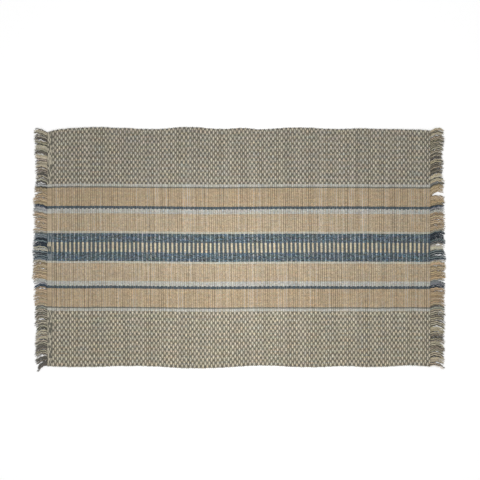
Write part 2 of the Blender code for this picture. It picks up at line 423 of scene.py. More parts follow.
# %% The woven sheet tree: the rolled rim
other_side = add(tree, MATH, "SUBTRACT", [1.0, across])
side_share = add(tree, MATH, "MINIMUM", [across, other_side])
side_distance = add(tree, MATH, "MULTIPLY", [side_share, size["Width"]])
side_roll = add(
    tree, MATH, {"operation": "DIVIDE", "use_clamp": True}, [side_distance, size["Rim Roll"]]
)
other_end = add(tree, MATH, "SUBTRACT", [1.0, along])
end_share = add(tree, MATH, "MINIMUM", [along, other_end])
end_distance = add(tree, MATH, "MULTIPLY", [end_share, size["Length"]])
end_roll = add(tree, MATH, {"operation": "DIVIDE", "use_clamp": True}, [end_distance, size["End Roll"]])
rolls = []
for roll in (side_roll, end_roll):
    left_over = add(tree, MATH, "SUBTRACT", [1.0, roll])
    squared = add(tree, MATH, "MULTIPLY", [left_over, left_over])
    under_root = add(tree, MATH, "SUBTRACT", [1.0, squared])
    rolls.append(add(tree, MATH, "SQRT", [under_root]))
end_height = add(tree, MATH, "SUBTRACT", [size["Valley"], END_DROP])
heights = []
for height in (face_height, back_height):
    for roll, meeting in ((rolls[1], end_height), (rolls[0], size["Middle Height"])):
        from_meeting = add(tree, MATH, "SUBTRACT", [height, meeting])
        height = add(tree, MATH, "MULTIPLY_ADD", [from_meeting, roll, meeting])
    heights.append(height)
print("face and back share", len(heights), "height rules and one rim")

# %% [markdown]
# In plan, the beater pushes each rib a little further along the rug on one side than on the other, and
# the edges wander. Deep inside the cloth the stripes don't follow the edges, so the edges' wandering
# fades out towards the middle, and the stripes' own drift fades out towards the edges. A slow noise
# stands for the small slips of a cloth that was picked up and laid down again.

# %% The woven sheet tree: places in plan
half_turn = add(tree, MATH, "MULTIPLY", [centred_across, math.pi])
sway_shape = add(tree, MATH, "SINE", [half_turn])
end_reach = add(tree, MATH, "DIVIDE", [loom_x, CLOTH_LENGTH / 2])
end_squared = add(tree, MATH, "MULTIPLY", [end_reach, end_reach])
hold = add(tree, MATH, {"operation": "SUBTRACT", "use_clamp": True}, [1.0, end_squared])
held_sway = add(tree, MATH, "MULTIPLY", [sway_shape, hold])
swayed_x = add(tree, MATH, "MULTIPLY_ADD", [held_sway, -RIB_SWAY, loom_x])
loom_point = add(tree, "ShaderNodeCombineXYZ", inputs=[loom_x, loom_y, 0.0])
slips = add(
    tree,
    "ShaderNodeTexNoise",
    {"noise_dimensions": "3D"},
    {"Vector": loom_point, "Scale": WANDERS_PER_METRE, "Detail": 1.0},
)
slip = add(tree, "ShaderNodeSeparateXYZ", inputs=[slips.outputs["Color"]])
slip_x = add(tree, MATH, "SUBTRACT", [slip.outputs["X"], 0.5])
slip_y = add(tree, MATH, "SUBTRACT", [slip.outputs["Y"], 0.5])
held_slip = add(tree, MATH, "MULTIPLY", [slip_x, hold])
final_x = add(tree, MATH, "MULTIPLY_ADD", [held_slip, 2 * WANDER, swayed_x])
slipped_y = add(tree, MATH, "MULTIPLY_ADD", [slip_y, WANDER, loom_y])

left_end = FAR_EDGE[0].x_mm * MM
right_end = FAR_EDGE[-1].x_mm * MM
rug_share = add(tree, "ShaderNodeMapRange", inputs=[loom_x, left_end, right_end, 0.0, 1.0])
doubled = add(tree, MATH, "MULTIPLY", [centred_across, 2.0])
even_bulge = add(tree, MATH, "SUBTRACT", [profile, 0.5])
bulge = add(tree, MATH, "MULTIPLY_ADD", [uneven.outputs[1], SCALLOP_LUCK, even_bulge])
scallop = add(tree, MATH, "MULTIPLY", [bulge, SCALLOP])
drift = add_table(tree, MIDDLE_DRIFT, "far_mm", rug_share)
middle_loss = add(tree, MATH, "MULTIPLY", [doubled, doubled])
middle_hold = add(tree, MATH, "SUBTRACT", [1.0, middle_loss])
placed_y = add(tree, MATH, "MULTIPLY_ADD", [drift, middle_hold, slipped_y])
for table, way in ((FAR_EDGE, 1.0), (NEAR_EDGE, -1.0)):
    edge_out = add_table(tree, table, "out_mm", rug_share)
    toward = add(tree, MATH, {"operation": "MULTIPLY", "use_clamp": True}, [doubled, way])
    near_rim = add(tree, MATH, "POWER", [toward, EDGE_REACH])
    at_rim = add(tree, MATH, "POWER", [toward, SELVEDGE_REACH])
    wandered = add(tree, MATH, "MULTIPLY", [near_rim, edge_out])
    scalloped = add(tree, MATH, "MULTIPLY_ADD", [at_rim, scallop, wandered])
    placed_y = add(tree, MATH, "MULTIPLY_ADD", [scalloped, way, placed_y])
print("the rim's wandering fades inward with power", EDGE_REACH)

# %% [markdown]
# Last, the two copies of the grid are placed, turned outward, joined and welded at the rim. A flat map
# for baked textures is laid out here too, with the face large and the back small.

# %% The woven sheet tree: face and back
sides = []
for height, corner, scale, flipped in (
    (heights[0], size["Bake Face Corner"], 1.0, False),
    (heights[1], size["Bake Back Corner"], size["Bake Back Scale"], True),
):
    map_along = add(tree, VECTOR, "SCALE", {0: size["Bake Along"], "Scale": along})
    map_across = add(tree, VECTOR, "SCALE", {0: size["Bake Across"], "Scale": across})
    map_place = add(tree, VECTOR, "ADD", [map_along, map_across])
    map_sized = add(tree, VECTOR, "SCALE", {0: map_place, "Scale": scale})
    map_final = add(tree, VECTOR, "ADD", [map_sized, corner])
    mapped = add(
        tree,
        "GeometryNodeStoreNamedAttribute",
        {"data_type": "FLOAT2", "domain": "CORNER"},
        {"Geometry": told, "Name": "OFBake", "Value": map_final},
    )
    marked = add(
        tree,
        "GeometryNodeStoreNamedAttribute",
        {"data_type": "FLOAT", "domain": "FACE"},
        {"Geometry": mapped, "Name": "on_back", "Value": 1.0 if flipped else 0.0},
    )
    new_place = add(tree, "ShaderNodeCombineXYZ", inputs=[final_x, placed_y, height])
    placed = add(tree, "GeometryNodeSetPosition", inputs={"Geometry": marked, "Position": new_place})
    sides.append(add(tree, "GeometryNodeFlipFaces", inputs={"Mesh": placed}) if flipped else placed)
joined = add(tree, "GeometryNodeJoinGeometry")
for side in sides:
    tree.links.new(side.outputs[0], joined.inputs[0])
welded = add(tree, "GeometryNodeMergeByDistance", inputs={"Geometry": joined, "Distance": WELD})
smoothed = add(tree, "GeometryNodeSetShadeSmooth", inputs={"Geometry": welded, "Shade Smooth": True})
realized = add(tree, "GeometryNodeRealizeInstances", inputs={"Geometry": smoothed})
covered = add(
    tree, "GeometryNodeSetMaterial", inputs={"Geometry": realized, "Material": size["Cotton"]}
)
tree.links.new(covered.outputs[0], sheet_result.inputs[0])
print("woven sheet nodes:", len(tree.nodes))

# %% [markdown]
# ## The cotton of the cloth
#
# Woven cotton is matt, with a faint bloom from its fibres. The material asks which rib and which warp
# a point lies on, and so which set of warps is on top there. Then come the things that keep a real cloth
# from looking printed: each warp has its own brightness, small groups of floats their own tint, the yarn
# thickens and thins along its length, and in the valleys a thin weft shows, lighter on some ribs and
# darker on others, its darker tones partly painted shade in the valley. Light and shade are painted in
# two more places: one flank of each rib is lighter than the other, and a thin line of shade runs between
# the warps. The warps are raised as bump, because their real relief is about a quarter of a millimetre.

# %% The cotton material: start
COTTON_ROUGHNESS = 0.88
COTTON_IOR = 1.53


def start_material(name):
    """A new material with one Principled shader for dry cotton; gives the tree and the shader."""
    material = bpy.data.materials.new(name)
    material.use_nodes = True
    nodes = material.node_tree.nodes
    nodes.clear()
    shader = add(
        material.node_tree,
        "ShaderNodeBsdfPrincipled",
        inputs={
            "Roughness": COTTON_ROUGHNESS,
            "IOR": COTTON_IOR,
            "Specular IOR Level": 0.25,
            "Sheen Weight": 0.12,
            "Sheen Roughness": 0.6,
        },
    )
    output = add(material.node_tree, "ShaderNodeOutputMaterial")
    material.node_tree.links.new(shader.outputs["BSDF"], output.inputs["Surface"])
    return material, material.node_tree, shader


def vary(tree, colour, amount, low, high):
    """Darken or lighten a colour by a random amount from 0 to 1, spread from low to high."""
    factor = add(tree, "ShaderNodeMapRange", inputs=[amount, 0.0, 1.0, low, high])
    return add(tree, VECTOR, "SCALE", {0: colour, "Scale": factor})


woven, tree, shader = start_material("spun cotton, rep woven")
print("cotton roughness", COTTON_ROUGHNESS)

# %% [markdown]
# The attribute `weave` gives the rib and the warp, and the place within each. The warps are counted from
# the middle of the stripes. On a real loom the warps never lie in ruled lines: on each rib they have
# slipped sideways by part of a warp, and in the checks the odd ribs' warps lie half a warp further on.

# %% The cotton material: rib and warp
FIRST_WARP = STRIPE_CENTRE + WARP_PITCH / MM / 2
CHECK_SLIP = 0.7
STRIPE_SLIP = 0.5
ODD_STEP = 0.25
weave = add(tree, "ShaderNodeAttribute", {"attribute_name": "weave"})
on_back = add(tree, "ShaderNodeAttribute", {"attribute_name": "on_back"})
loom = add(tree, "ShaderNodeSeparateXYZ", inputs=[weave.outputs["Vector"]])
rib = add(tree, MATH, "FLOOR", [loom.outputs["X"]])
in_rib = add(tree, MATH, "FRACT", [loom.outputs["X"]])
turned_rib = add(tree, MATH, "ADD", [rib, on_back.outputs["Fac"]])
halved_rib = add(tree, MATH, "MULTIPLY", [turned_rib, 0.5])
rib_rest = add(tree, MATH, "FRACT", [halved_rib])
odd_rib = add(tree, MATH, "GREATER_THAN", [rib_rest, 0.25])

rib_luck = add(tree, "ShaderNodeTexWhiteNoise", {"noise_dimensions": "1D"}, {"W": rib})
counted_from = add(tree, MATH, "SUBTRACT", [loom.outputs["Y"], FIRST_WARP])
warps_across = add(tree, MATH, "DIVIDE", [counted_from, WARP_PITCH / MM])
from_stripe_middle = add(tree, MATH, "SUBTRACT", [loom.outputs["Y"], STRIPE_CENTRE])
out_by = add(tree, MATH, "ABSOLUTE", [from_stripe_middle])
past_stripes = add(tree, MATH, "GREATER_THAN", [out_by, CHECK_FROM])
middled_luck = add(tree, MATH, "SUBTRACT", [rib_luck.outputs["Value"], 0.5])
odd_step = add(tree, MATH, "MULTIPLY_ADD", [odd_rib, -2 * ODD_STEP, ODD_STEP])
check_slip = add(tree, MATH, "MULTIPLY_ADD", [middled_luck, CHECK_SLIP, odd_step])
stripe_slip = add(tree, MATH, "MULTIPLY", [middled_luck, STRIPE_SLIP])
slip = add(
    tree, "ShaderNodeMix", {"data_type": "FLOAT"}, {0: past_stripes, 2: stripe_slip, 3: check_slip}
)
slipped_warps = add(tree, MATH, "ADD", [warps_across, slip])
warp = add(tree, MATH, "FLOOR", [slipped_warps])
in_warp = add(tree, MATH, "FRACT", [slipped_warps])
warp_middle = add(tree, MATH, "ADD", [warp, 0.5])
warp_mm = add(tree, MATH, "MULTIPLY_ADD", [warp_middle, WARP_PITCH / MM, FIRST_WARP])
plan = add(tree, "ShaderNodeGroup", {"node_tree": stripe_group}, [warp_mm])
print("check floats slip by up to", CHECK_SLIP / 2, "of a warp to each side")

# %% [markdown]
# In the checked borders the light set is on top for six warps and the dark set for the next six, and on
# the next rib they change places. The photo shows a little more cream at one change and a little more
# dark at the other, so the light blocks of odd ribs lie five warps further on and not six. The light
# floats are plumper in their middle, so each block is drawn as a lens whose thin ends reach a little
# past its six warps, and some ribs' are shorter.

# %% The cotton material: which set is on top
FAR_BLOCK_START = 3.0
NEAR_BLOCK_START = 7.0
BLOCK_MIDDLE = 3.5
HALF_BLOCK = 3.6
BLOCK_TAPER = 0.8
SHORTEST_HALF = 0.38
LONGEST_HALF = 0.6
far_half = add(tree, MATH, "GREATER_THAN", [loom.outputs["Y"], 0.0])
block_start = add(
    tree, MATH, "MULTIPLY_ADD", [far_half, FAR_BLOCK_START - NEAR_BLOCK_START, NEAR_BLOCK_START]
)
started = add(tree, MATH, "ADD", [warp, block_start])
in_repeat = add(tree, MATH, "FLOORED_MODULO", [started, 2.0 * CHECK_WARPS])
block_middle = add(tree, MATH, "MULTIPLY_ADD", [odd_rib, CHECK_WARPS - 1.0, BLOCK_MIDDLE])
from_middle = add(tree, MATH, "SUBTRACT", [in_repeat, block_middle])
check_distance = add(tree, MATH, "ABSOLUTE", [from_middle])
plain_distance = add(tree, MATH, "MULTIPLY", [odd_rib, 2 * HALF_BLOCK])
distance = add(
    tree,
    "ShaderNodeMix",
    {"data_type": "FLOAT"},
    {0: plan.outputs["In checks"], 2: plain_distance, 3: check_distance},
)
in_block = add(tree, MATH, "LESS_THAN", [distance, HALF_BLOCK])
lens_turn = add(tree, MATH, "DIVIDE", [distance, HALF_BLOCK])
lens_squared = add(tree, MATH, "MULTIPLY", [lens_turn, lens_turn])
lens_share = add(tree, MATH, "MULTIPLY_ADD", [lens_squared, -BLOCK_TAPER, 1.0])
block_cover = add(tree, MATH, "MULTIPLY", [lens_share, plan.outputs["Cover"]])
rib_chance = add(tree, "ShaderNodeSeparateXYZ", inputs=[rib_luck.outputs["Color"]])
uneven_half = add(
    tree,
    "ShaderNodeMapRange",
    inputs=[rib_chance.outputs["Y"], 0.0, 1.0, SHORTEST_HALF, LONGEST_HALF],
)
half_cover = add(tree, MATH, "MULTIPLY", [block_cover, uneven_half])
off_crest = add(tree, MATH, "SUBTRACT", [in_rib, 0.5])
from_crest = add(tree, MATH, "ABSOLUTE", [off_crest])
on_float = add(tree, MATH, "LESS_THAN", [from_crest, half_cover])
even_set = add(tree, MATH, "MULTIPLY", [in_block, on_float])
odd_set = add(tree, MATH, "SUBTRACT", [1.0, even_set])
top_set = add(
    tree,
    "ShaderNodeMix",
    {"data_type": "RGBA"},
    {0: odd_set, 6: plan.outputs["Even set"], 7: plan.outputs["Odd set"]},
)
print("checks are", CHECK_WARPS, "warps high and one rib wide")

# %% [markdown]
# The dark blocks aren't sharp either. Round each one, light and dark yarns show side by side, which from
# here is one mixed tone. In patches a few checks wide the whole dark set is paler.

# %% The cotton material: mixed tones
DARK_HALF_HIGH = 2.4
DARK_HALF_WIDE = 0.42
MIXED_SHARE = 0.75
MIXED_TONE = "#8d8572"
PATCH_SCALE = 0.09
PATCH_SHARE = 0.35
dark_gap = add(tree, MATH, "SUBTRACT", [float(CHECK_WARPS), check_distance])
dark_up = add(tree, MATH, "DIVIDE", [dark_gap, DARK_HALF_HIGH])
dark_along = add(tree, MATH, "DIVIDE", [off_crest, DARK_HALF_WIDE])
dark_up_squared = add(tree, MATH, "MULTIPLY", [dark_up, dark_up])
dark_round = add(tree, MATH, "MULTIPLY_ADD", [dark_along, dark_along, dark_up_squared])
mixing = add(tree, "ShaderNodeMapRange", SMOOTH, [dark_round, 0.3, 1.5, 0.0, MIXED_SHARE])
mixing_in_checks = add(tree, MATH, "MULTIPLY", [mixing, plan.outputs["In checks"]])
mixing_of_dark = add(tree, MATH, "MULTIPLY", [mixing_in_checks, odd_set])
patch_place = add(tree, "ShaderNodeCombineXYZ", inputs=[loom.outputs["X"], warps_across, 0.0])
patches = add(
    tree, "ShaderNodeTexNoise", inputs={"Vector": patch_place, "Scale": PATCH_SCALE, "Detail": 2.0}
)
weaker = add(tree, "ShaderNodeMapRange", inputs=[patches.outputs["Fac"], 0.35, 0.65, 0.0, PATCH_SHARE])
weaker_dark = add(tree, MATH, "MULTIPLY", [weaker, odd_set])
weaker_check = add(tree, MATH, "MULTIPLY", [weaker_dark, plan.outputs["In checks"]])
mixed_in = add(tree, MATH, "MAXIMUM", [mixing_of_dark, weaker_check])
set_colour = add(
    tree,
    "ShaderNodeMix",
    {"data_type": "RGBA"},
    {0: mixed_in, 6: top_set.outputs[2], 7: linear(MIXED_TONE)},
)
print("up to", MIXED_SHARE, "of a dark block's edge is the mixed tone")

# %% [markdown]
# Real cotton takes the dye unevenly. Each warp has its own brightness. Three neighbouring warps share a
# slight tint, which runs warmer and cooler along them, and a second brightness that changes from rib to
# rib. The border on the far side is a shade darker than the near one.

# %% The cotton material: uneven dye
FAR_BORDER = (-0.1, -0.09, -0.05)
WARP_TONE = (0.92, 1.08)
THREAD_WARPS = 3.0
DYE_RUN = 0.12
NEXT_SET = 37.0
WARM_AND_COOL = (0.6, 0.1, -0.85)
OTHER_HUES = 0.45
warp_luck = add(tree, "ShaderNodeTexWhiteNoise", {"noise_dimensions": "1D"}, {"W": warp})
far_checks = add(tree, MATH, "MULTIPLY", [far_half, plan.outputs["In checks"]])
far_shade = add(tree, VECTOR, "MULTIPLY_ADD", [far_checks, FAR_BORDER, (1.0, 1.0, 1.0)])
by_border = add(tree, VECTOR, "MULTIPLY", [set_colour.outputs[2], far_shade])
by_warp = vary(tree, by_border.outputs[0], warp_luck.outputs["Value"], *WARP_TONE)
threads = add(tree, MATH, "DIVIDE", [started, THREAD_WARPS])
thread = add(tree, MATH, "FLOOR", [threads])
float_place = add(tree, "ShaderNodeCombineXYZ", inputs=[rib, thread, odd_set])
float_luck = add(tree, "ShaderNodeTexWhiteNoise", {"noise_dimensions": "3D"}, [float_place])
set_step = add(tree, MATH, "MULTIPLY", [odd_set, NEXT_SET])
dye_along = add(tree, MATH, "MULTIPLY_ADD", [rib, DYE_RUN, set_step])
dye_place = add(tree, "ShaderNodeCombineXYZ", inputs=[dye_along, thread, 0.0])
dye = add(tree, "ShaderNodeTexNoise", inputs={"Vector": dye_place, "Scale": 1.0, "Detail": 1.0})
any_hue = add(tree, VECTOR, "SUBTRACT", [dye.outputs["Color"], (0.5, 0.5, 0.5)])
warm_side = add(tree, MATH, "SUBTRACT", [dye.outputs["Fac"], 0.5])
warm = add(tree, VECTOR, "SCALE", {0: WARM_AND_COOL, "Scale": warm_side})
some_hue = add(tree, VECTOR, "SCALE", {0: any_hue, "Scale": OTHER_HUES})
dye_side = add(tree, VECTOR, "ADD", [warm, some_hue])
dye_strength = add(tree, MATH, "MULTIPLY_ADD", [plan.outputs["Flecks"], 1.1, 0.2])
dye_sized = add(tree, VECTOR, "SCALE", {0: dye_side, "Scale": dye_strength})
tint = add(tree, VECTOR, "ADD", [dye_sized, (1.0, 1.0, 1.0)])
tinted = add(tree, VECTOR, "MULTIPLY", [by_warp, tint])
float_side = add(tree, MATH, "SUBTRACT", [float_luck.outputs["Value"], 0.5])
float_strength = add(tree, MATH, "MULTIPLY_ADD", [plan.outputs["Flecks"], 0.7, 0.08])
float_factor = add(tree, MATH, "MULTIPLY_ADD", [float_side, float_strength, 1.0])
by_float = add(tree, VECTOR, "SCALE", {0: tinted, "Scale": float_factor})
print("dye varies by warp and by threads of", THREAD_WARPS, "warps")

# %% [markdown]
# The yarn itself is uneven too. Flecks are short bits where the other colour of a mixed yarn turns up,
# and slubs are stretches where it is thicker and catches more light. Each rib also has its own tone.
# Light and shade are painted on each rib as well: one of its two flanks is a little lighter and the
# other a little darker, and chance picks the side for each rib.

# %% The cotton material: uneven yarn
FLECK_CONTRAST = 2.0
SLUB_TONE = (0.76, 1.24)
RIB_TONE = (0.94, 1.06)
FLANK_SHADE = 0.5
half_ribs = add(tree, MATH, "MULTIPLY", [loom.outputs["X"], 2.0])
half_rib = add(tree, MATH, "FLOOR", [half_ribs])
fleck_place = add(tree, "ShaderNodeCombineXYZ", inputs=[half_rib, warp, 0.0])
fleck_luck = add(tree, "ShaderNodeTexWhiteNoise", {"noise_dimensions": "3D"}, [fleck_place])
fleck_side = add(tree, MATH, "SUBTRACT", [fleck_luck.outputs["Value"], 0.5])
fleck_size = add(tree, MATH, "MULTIPLY", [fleck_side, plan.outputs["Flecks"]])
fleck_factor = add(tree, MATH, "MULTIPLY_ADD", [fleck_size, FLECK_CONTRAST, 1.0])
by_fleck = add(tree, VECTOR, "SCALE", {0: by_float, "Scale": fleck_factor})
slub_place = add(tree, "ShaderNodeCombineXYZ", inputs=[loom.outputs["X"], warps_across, 0.0])
slubs = add(
    tree,
    "ShaderNodeTexNoise",
    inputs={"Vector": slub_place, "Scale": 0.35, "Detail": 3.0, "Roughness": 0.65},
)
by_slub = vary(tree, by_fleck, slubs.outputs["Fac"], *SLUB_TONE)
by_rib = vary(tree, by_slub, rib_luck.outputs["Value"], *RIB_TONE)
# Painted light and shade: one flank of each rib is lighter and the other darker, the side picked by
# chance.
lit_flank_side = add(tree, MATH, "SUBTRACT", [rib_chance.outputs["Z"], 0.5])
flank_light = add(tree, MATH, "MULTIPLY", [lit_flank_side, off_crest])
painted_flank_light = add(tree, MATH, "MULTIPLY_ADD", [flank_light, FLANK_SHADE, 1.0])
with_flank_light = add(tree, VECTOR, "SCALE", {0: by_rib, "Scale": painted_flank_light})
print("yarn varies by half ribs, along its length and by rib")

# %% [markdown]
# The thin weft in each valley is what makes the tan stripes look combed: on some ribs a light line runs
# right across them, on others a brown one, and it fades in and out over about a foot. Its brown and dark
# tones are partly the weft's own colour and partly painted shade in the valley between two ribs.

# %% The cotton material: valleys
VALLEY_EDGE = 0.33
VALLEY_FLOOR = 0.46
VALLEY_RUN = 300.0
NEXT_VALLEY = 6.1
WEFT_AND_SHADE_TONES = ((0.36, "#5c5142"), (0.62, "#faf0da"), (0.5, "#918269"))
GAP_SHADE_TONE = 0.8
# Partly painted shade: the valley's weft colour is on average darker than the warps beside it.
valley = add(tree, "ShaderNodeMapRange", SMOOTH, [from_crest, VALLEY_EDGE, VALLEY_FLOOR, 0.0, 1.0])
nearest_valley = add(tree, MATH, "ROUND", [loom.outputs["X"]])
valley_run = add(tree, MATH, "DIVIDE", [loom.outputs["Y"], VALLEY_RUN])
valley_step = add(tree, MATH, "MULTIPLY", [nearest_valley, NEXT_VALLEY])
valley_place = add(tree, "ShaderNodeCombineXYZ", inputs=[valley_step, valley_run, 0.0])
valley_luck = add(
    tree, "ShaderNodeTexNoise", inputs={"Vector": valley_place, "Scale": 1.0, "Detail": 1.0}
)
weft_and_shade_colour = add(tree, "ShaderNodeValToRGB", inputs=[valley_luck.outputs["Fac"]])
weft_stops = (*weft_and_shade_colour.color_ramp.elements, weft_and_shade_colour.color_ramp.elements.new(0.5))
for stop, (position, colour) in zip(weft_stops, WEFT_AND_SHADE_TONES):
    stop.position = position
    stop.color = linear(colour)
weft_and_shade_show = add(tree, MATH, "MULTIPLY", [valley, plan.outputs["Weft"]])
with_weft_and_shade = add(
    tree,
    "ShaderNodeMix",
    {"data_type": "RGBA"},
    {0: weft_and_shade_show, 6: with_flank_light.outputs[0], 7: weft_and_shade_colour.outputs["Color"]},
)
# Painted shade: a thin darker line between neighbouring warps, where little light reaches.
between_warps = add(tree, MATH, "SUBTRACT", [in_warp, 0.5])
from_warp = add(tree, MATH, "ABSOLUTE", [between_warps])
gap_shade = add(tree, "ShaderNodeMapRange", SMOOTH, [from_warp, 0.3, 0.5, 1.0, GAP_SHADE_TONE])
with_gap_shade = add(tree, VECTOR, "SCALE", {0: with_weft_and_shade.outputs[2], "Scale": gap_shade})
tree.links.new(with_gap_shade.outputs[0], shader.inputs["Base Color"])
weft_width = (0.5 - VALLEY_EDGE) * RIB_PITCH / MM
print("the thin weft shows in the outer", round(weft_width, 1), "mm of each rib")

# %% [markdown]
# The relief: each warp is a small round ridge that lies along the rug, its two plies are twisted, and
# loose fibres roughen it all. The ply twist repeats about every 4 mm on the real yarn.

# %% The cotton material: relief
PLY_TWIST = 4.0
WARP_RELIEF = 0.28 * MM
PLY_SHARE = 0.12
FUZZ_SHARE = 0.5
FUZZ_SCALE = 2.2
FUZZ_STRETCH = (6.1, 1.0, 1.0)
warp_turn = add(tree, MATH, "MULTIPLY", [in_warp, math.pi])
warp_ridge = add(tree, MATH, "SINE", [warp_turn])
along_mm = add(tree, MATH, "MULTIPLY", [loom.outputs["X"], RIB_PITCH / MM / PLY_TWIST])
twist = add(tree, MATH, "MULTIPLY_ADD", [in_warp, 0.5, along_mm])
twist_turn = add(tree, MATH, "MULTIPLY", [twist, 4 * math.pi])
plies = add(tree, MATH, "SINE", [twist_turn])
fuzz_place = add(tree, VECTOR, "MULTIPLY", [weave.outputs["Vector"], FUZZ_STRETCH])
fuzz = add(
    tree, "ShaderNodeTexNoise", inputs={"Vector": fuzz_place, "Scale": FUZZ_SCALE, "Detail": 4.0}
)
ridge_and_ply = add(tree, MATH, "MULTIPLY_ADD", [plies, PLY_SHARE, warp_ridge])
relief = add(tree, MATH, "MULTIPLY_ADD", [fuzz.outputs["Fac"], FUZZ_SHARE, ridge_and_ply])
relief_height = add(tree, MATH, "MULTIPLY", [relief, WARP_RELIEF])
bump = add(tree, "ShaderNodeBump", inputs={"Strength": 1.0, "Distance": 1.0, "Height": relief_height})
tree.links.new(bump.outputs["Normal"], shader.inputs["Normal"])
print("rep woven cotton nodes:", len(tree.nodes))

# %% [markdown]
# ## Making the cloth
#
# A modifier on an empty mesh runs the tree. Its inputs are set by the sockets' identifiers before it is
# first evaluated, and then the result is turned into a plain mesh.


# %% Running a tree
def run_tree(name, tree, values):
    """Run a Geometry Nodes tree with these named values, and give the result as a plain object."""
    maker = bpy.data.objects.new(name + " maker", bpy.data.meshes.new(name + " start"))
    bpy.context.scene.collection.objects.link(maker)
    modifier = maker.modifiers.new("tree", "NODES")
    modifier.node_group = tree
    for item in tree.interface.items_tree:
        if item.item_type == "SOCKET" and item.in_out == "INPUT" and item.name in values:
            modifier[item.identifier] = values[item.name]
    depsgraph = bpy.context.evaluated_depsgraph_get()
    mesh = bpy.data.meshes.new_from_object(maker.evaluated_get(depsgraph), depsgraph=depsgraph)
    bpy.data.objects.remove(maker)
    mesh.name = name
    piece = bpy.data.objects.new(name, mesh)
    bpy.context.scene.collection.objects.link(piece)
    triangles = sum(len(face.vertices) - 2 for face in mesh.polygons)
    print(name, "has", triangles, "triangles")
    return piece


cloth = run_tree(
    "ribbed_cloth",
    sheet_tree,
    {
        "Centre X": 0.0,
        "Length": CLOTH_LENGTH,
        "Width": CLOTH_WIDTH,
        "Ribs": RIB_COUNT,
        "Columns per Rib": 6,
        "Rows": 45,
        "Crest": RIB_CREST,
        "Valley": RIB_VALLEY,
        "Back Relief": 1.0 * MM,
        "Middle Height": 1.9 * MM,
        "Rim Roll": 3.5 * MM,
        "End Roll": 0.4 * MM,
        "Rib Unevenness": 0.15 * MM,
        "First Rib": 0.0,
        "Bake Along": (0.996, 0.0, 0.0),
        "Bake Across": (0.0, 0.632, 0.0),
        "Bake Face Corner": (0.002, 0.364, 0.0),
        "Bake Back Corner": (0.002, 0.003, 0.0),
        "Bake Back Scale": 0.56,
        "Seed": 3,
        "Cotton": woven,
    },
)

# %% [markdown]
# ## The headings
#
# At the left end the weaver has thrown five thin wefts in place of the thick ones, to lock the cloth
# before the fringe. Nothing is covered in blocks there: every warp goes over one weft and under the
# next, so the two sets mix, and a few neighbours together lean to the one or the other. At the right end
# the ribs run on up to the fringe, so that heading is two more ribs in the cloth's own cotton.

# %% The heading's cotton
BUNCH_WARPS = 5.0
PICK_TONE = (0.95, 1.17)
BUNCH_TONE = (0.88, 1.12)
HEADING_RELIEF = 0.3 * MM
heading_cotton, tree, shader = start_material("spun cotton, plain woven")
weave = add(tree, "ShaderNodeAttribute", {"attribute_name": "weave"})
loom = add(tree, "ShaderNodeSeparateXYZ", inputs=[weave.outputs["Vector"]])
pick = add(tree, MATH, "FLOOR", [loom.outputs["X"]])
warps_across = add(tree, MATH, "DIVIDE", [loom.outputs["Y"], WARP_PITCH / MM])
warp = add(tree, MATH, "FLOOR", [warps_across])
in_warp = add(tree, MATH, "FRACT", [warps_across])
plan = add(tree, "ShaderNodeGroup", {"node_tree": stripe_group}, [loom.outputs["Y"]])
bunches = add(tree, MATH, "DIVIDE", [warp, BUNCH_WARPS])
bunch = add(tree, MATH, "FLOOR", [bunches])
cell = add(tree, "ShaderNodeCombineXYZ", inputs=[pick, bunch, 0.0])
cell_luck = add(tree, "ShaderNodeTexWhiteNoise", {"noise_dimensions": "3D"}, [cell])
odd_share = add(tree, "ShaderNodeMapRange", SMOOTH, [cell_luck.outputs["Value"], 0.2, 0.8, 0.2, 0.98])
mixed = add(
    tree,
    "ShaderNodeMix",
    {"data_type": "RGBA"},
    {0: odd_share, 6: plan.outputs["Even set"], 7: plan.outputs["Odd set"]},
)
pick_luck = add(tree, "ShaderNodeTexWhiteNoise", {"noise_dimensions": "1D"}, {"W": pick})
by_pick = vary(tree, mixed.outputs[2], pick_luck.outputs["Value"], *PICK_TONE)
bunch_luck = add(tree, "ShaderNodeTexWhiteNoise", {"noise_dimensions": "1D"}, {"W": bunch})
mottled = vary(tree, by_pick, bunch_luck.outputs["Value"], *BUNCH_TONE)
warp_turn = add(tree, MATH, "MULTIPLY", [in_warp, math.pi])
ridge = add(tree, MATH, "SINE", [warp_turn])
# Painted shade: a thin darker line between neighbouring warps.
gap_shade = add(tree, "ShaderNodeMapRange", inputs=[ridge, 0.0, 0.6, GAP_SHADE_TONE, 1.0])
gap_shaded = add(tree, VECTOR, "SCALE", {0: mottled, "Scale": gap_shade})
tree.links.new(gap_shaded.outputs[0], shader.inputs["Base Color"])
ridge_height = add(tree, MATH, "MULTIPLY", [ridge, HEADING_RELIEF])
bump = add(tree, "ShaderNodeBump", inputs={"Strength": 1.0, "Distance": 1.0, "Height": ridge_height})
tree.links.new(bump.outputs["Normal"], shader.inputs["Normal"])
print("plain woven cotton nodes:", len(tree.nodes))

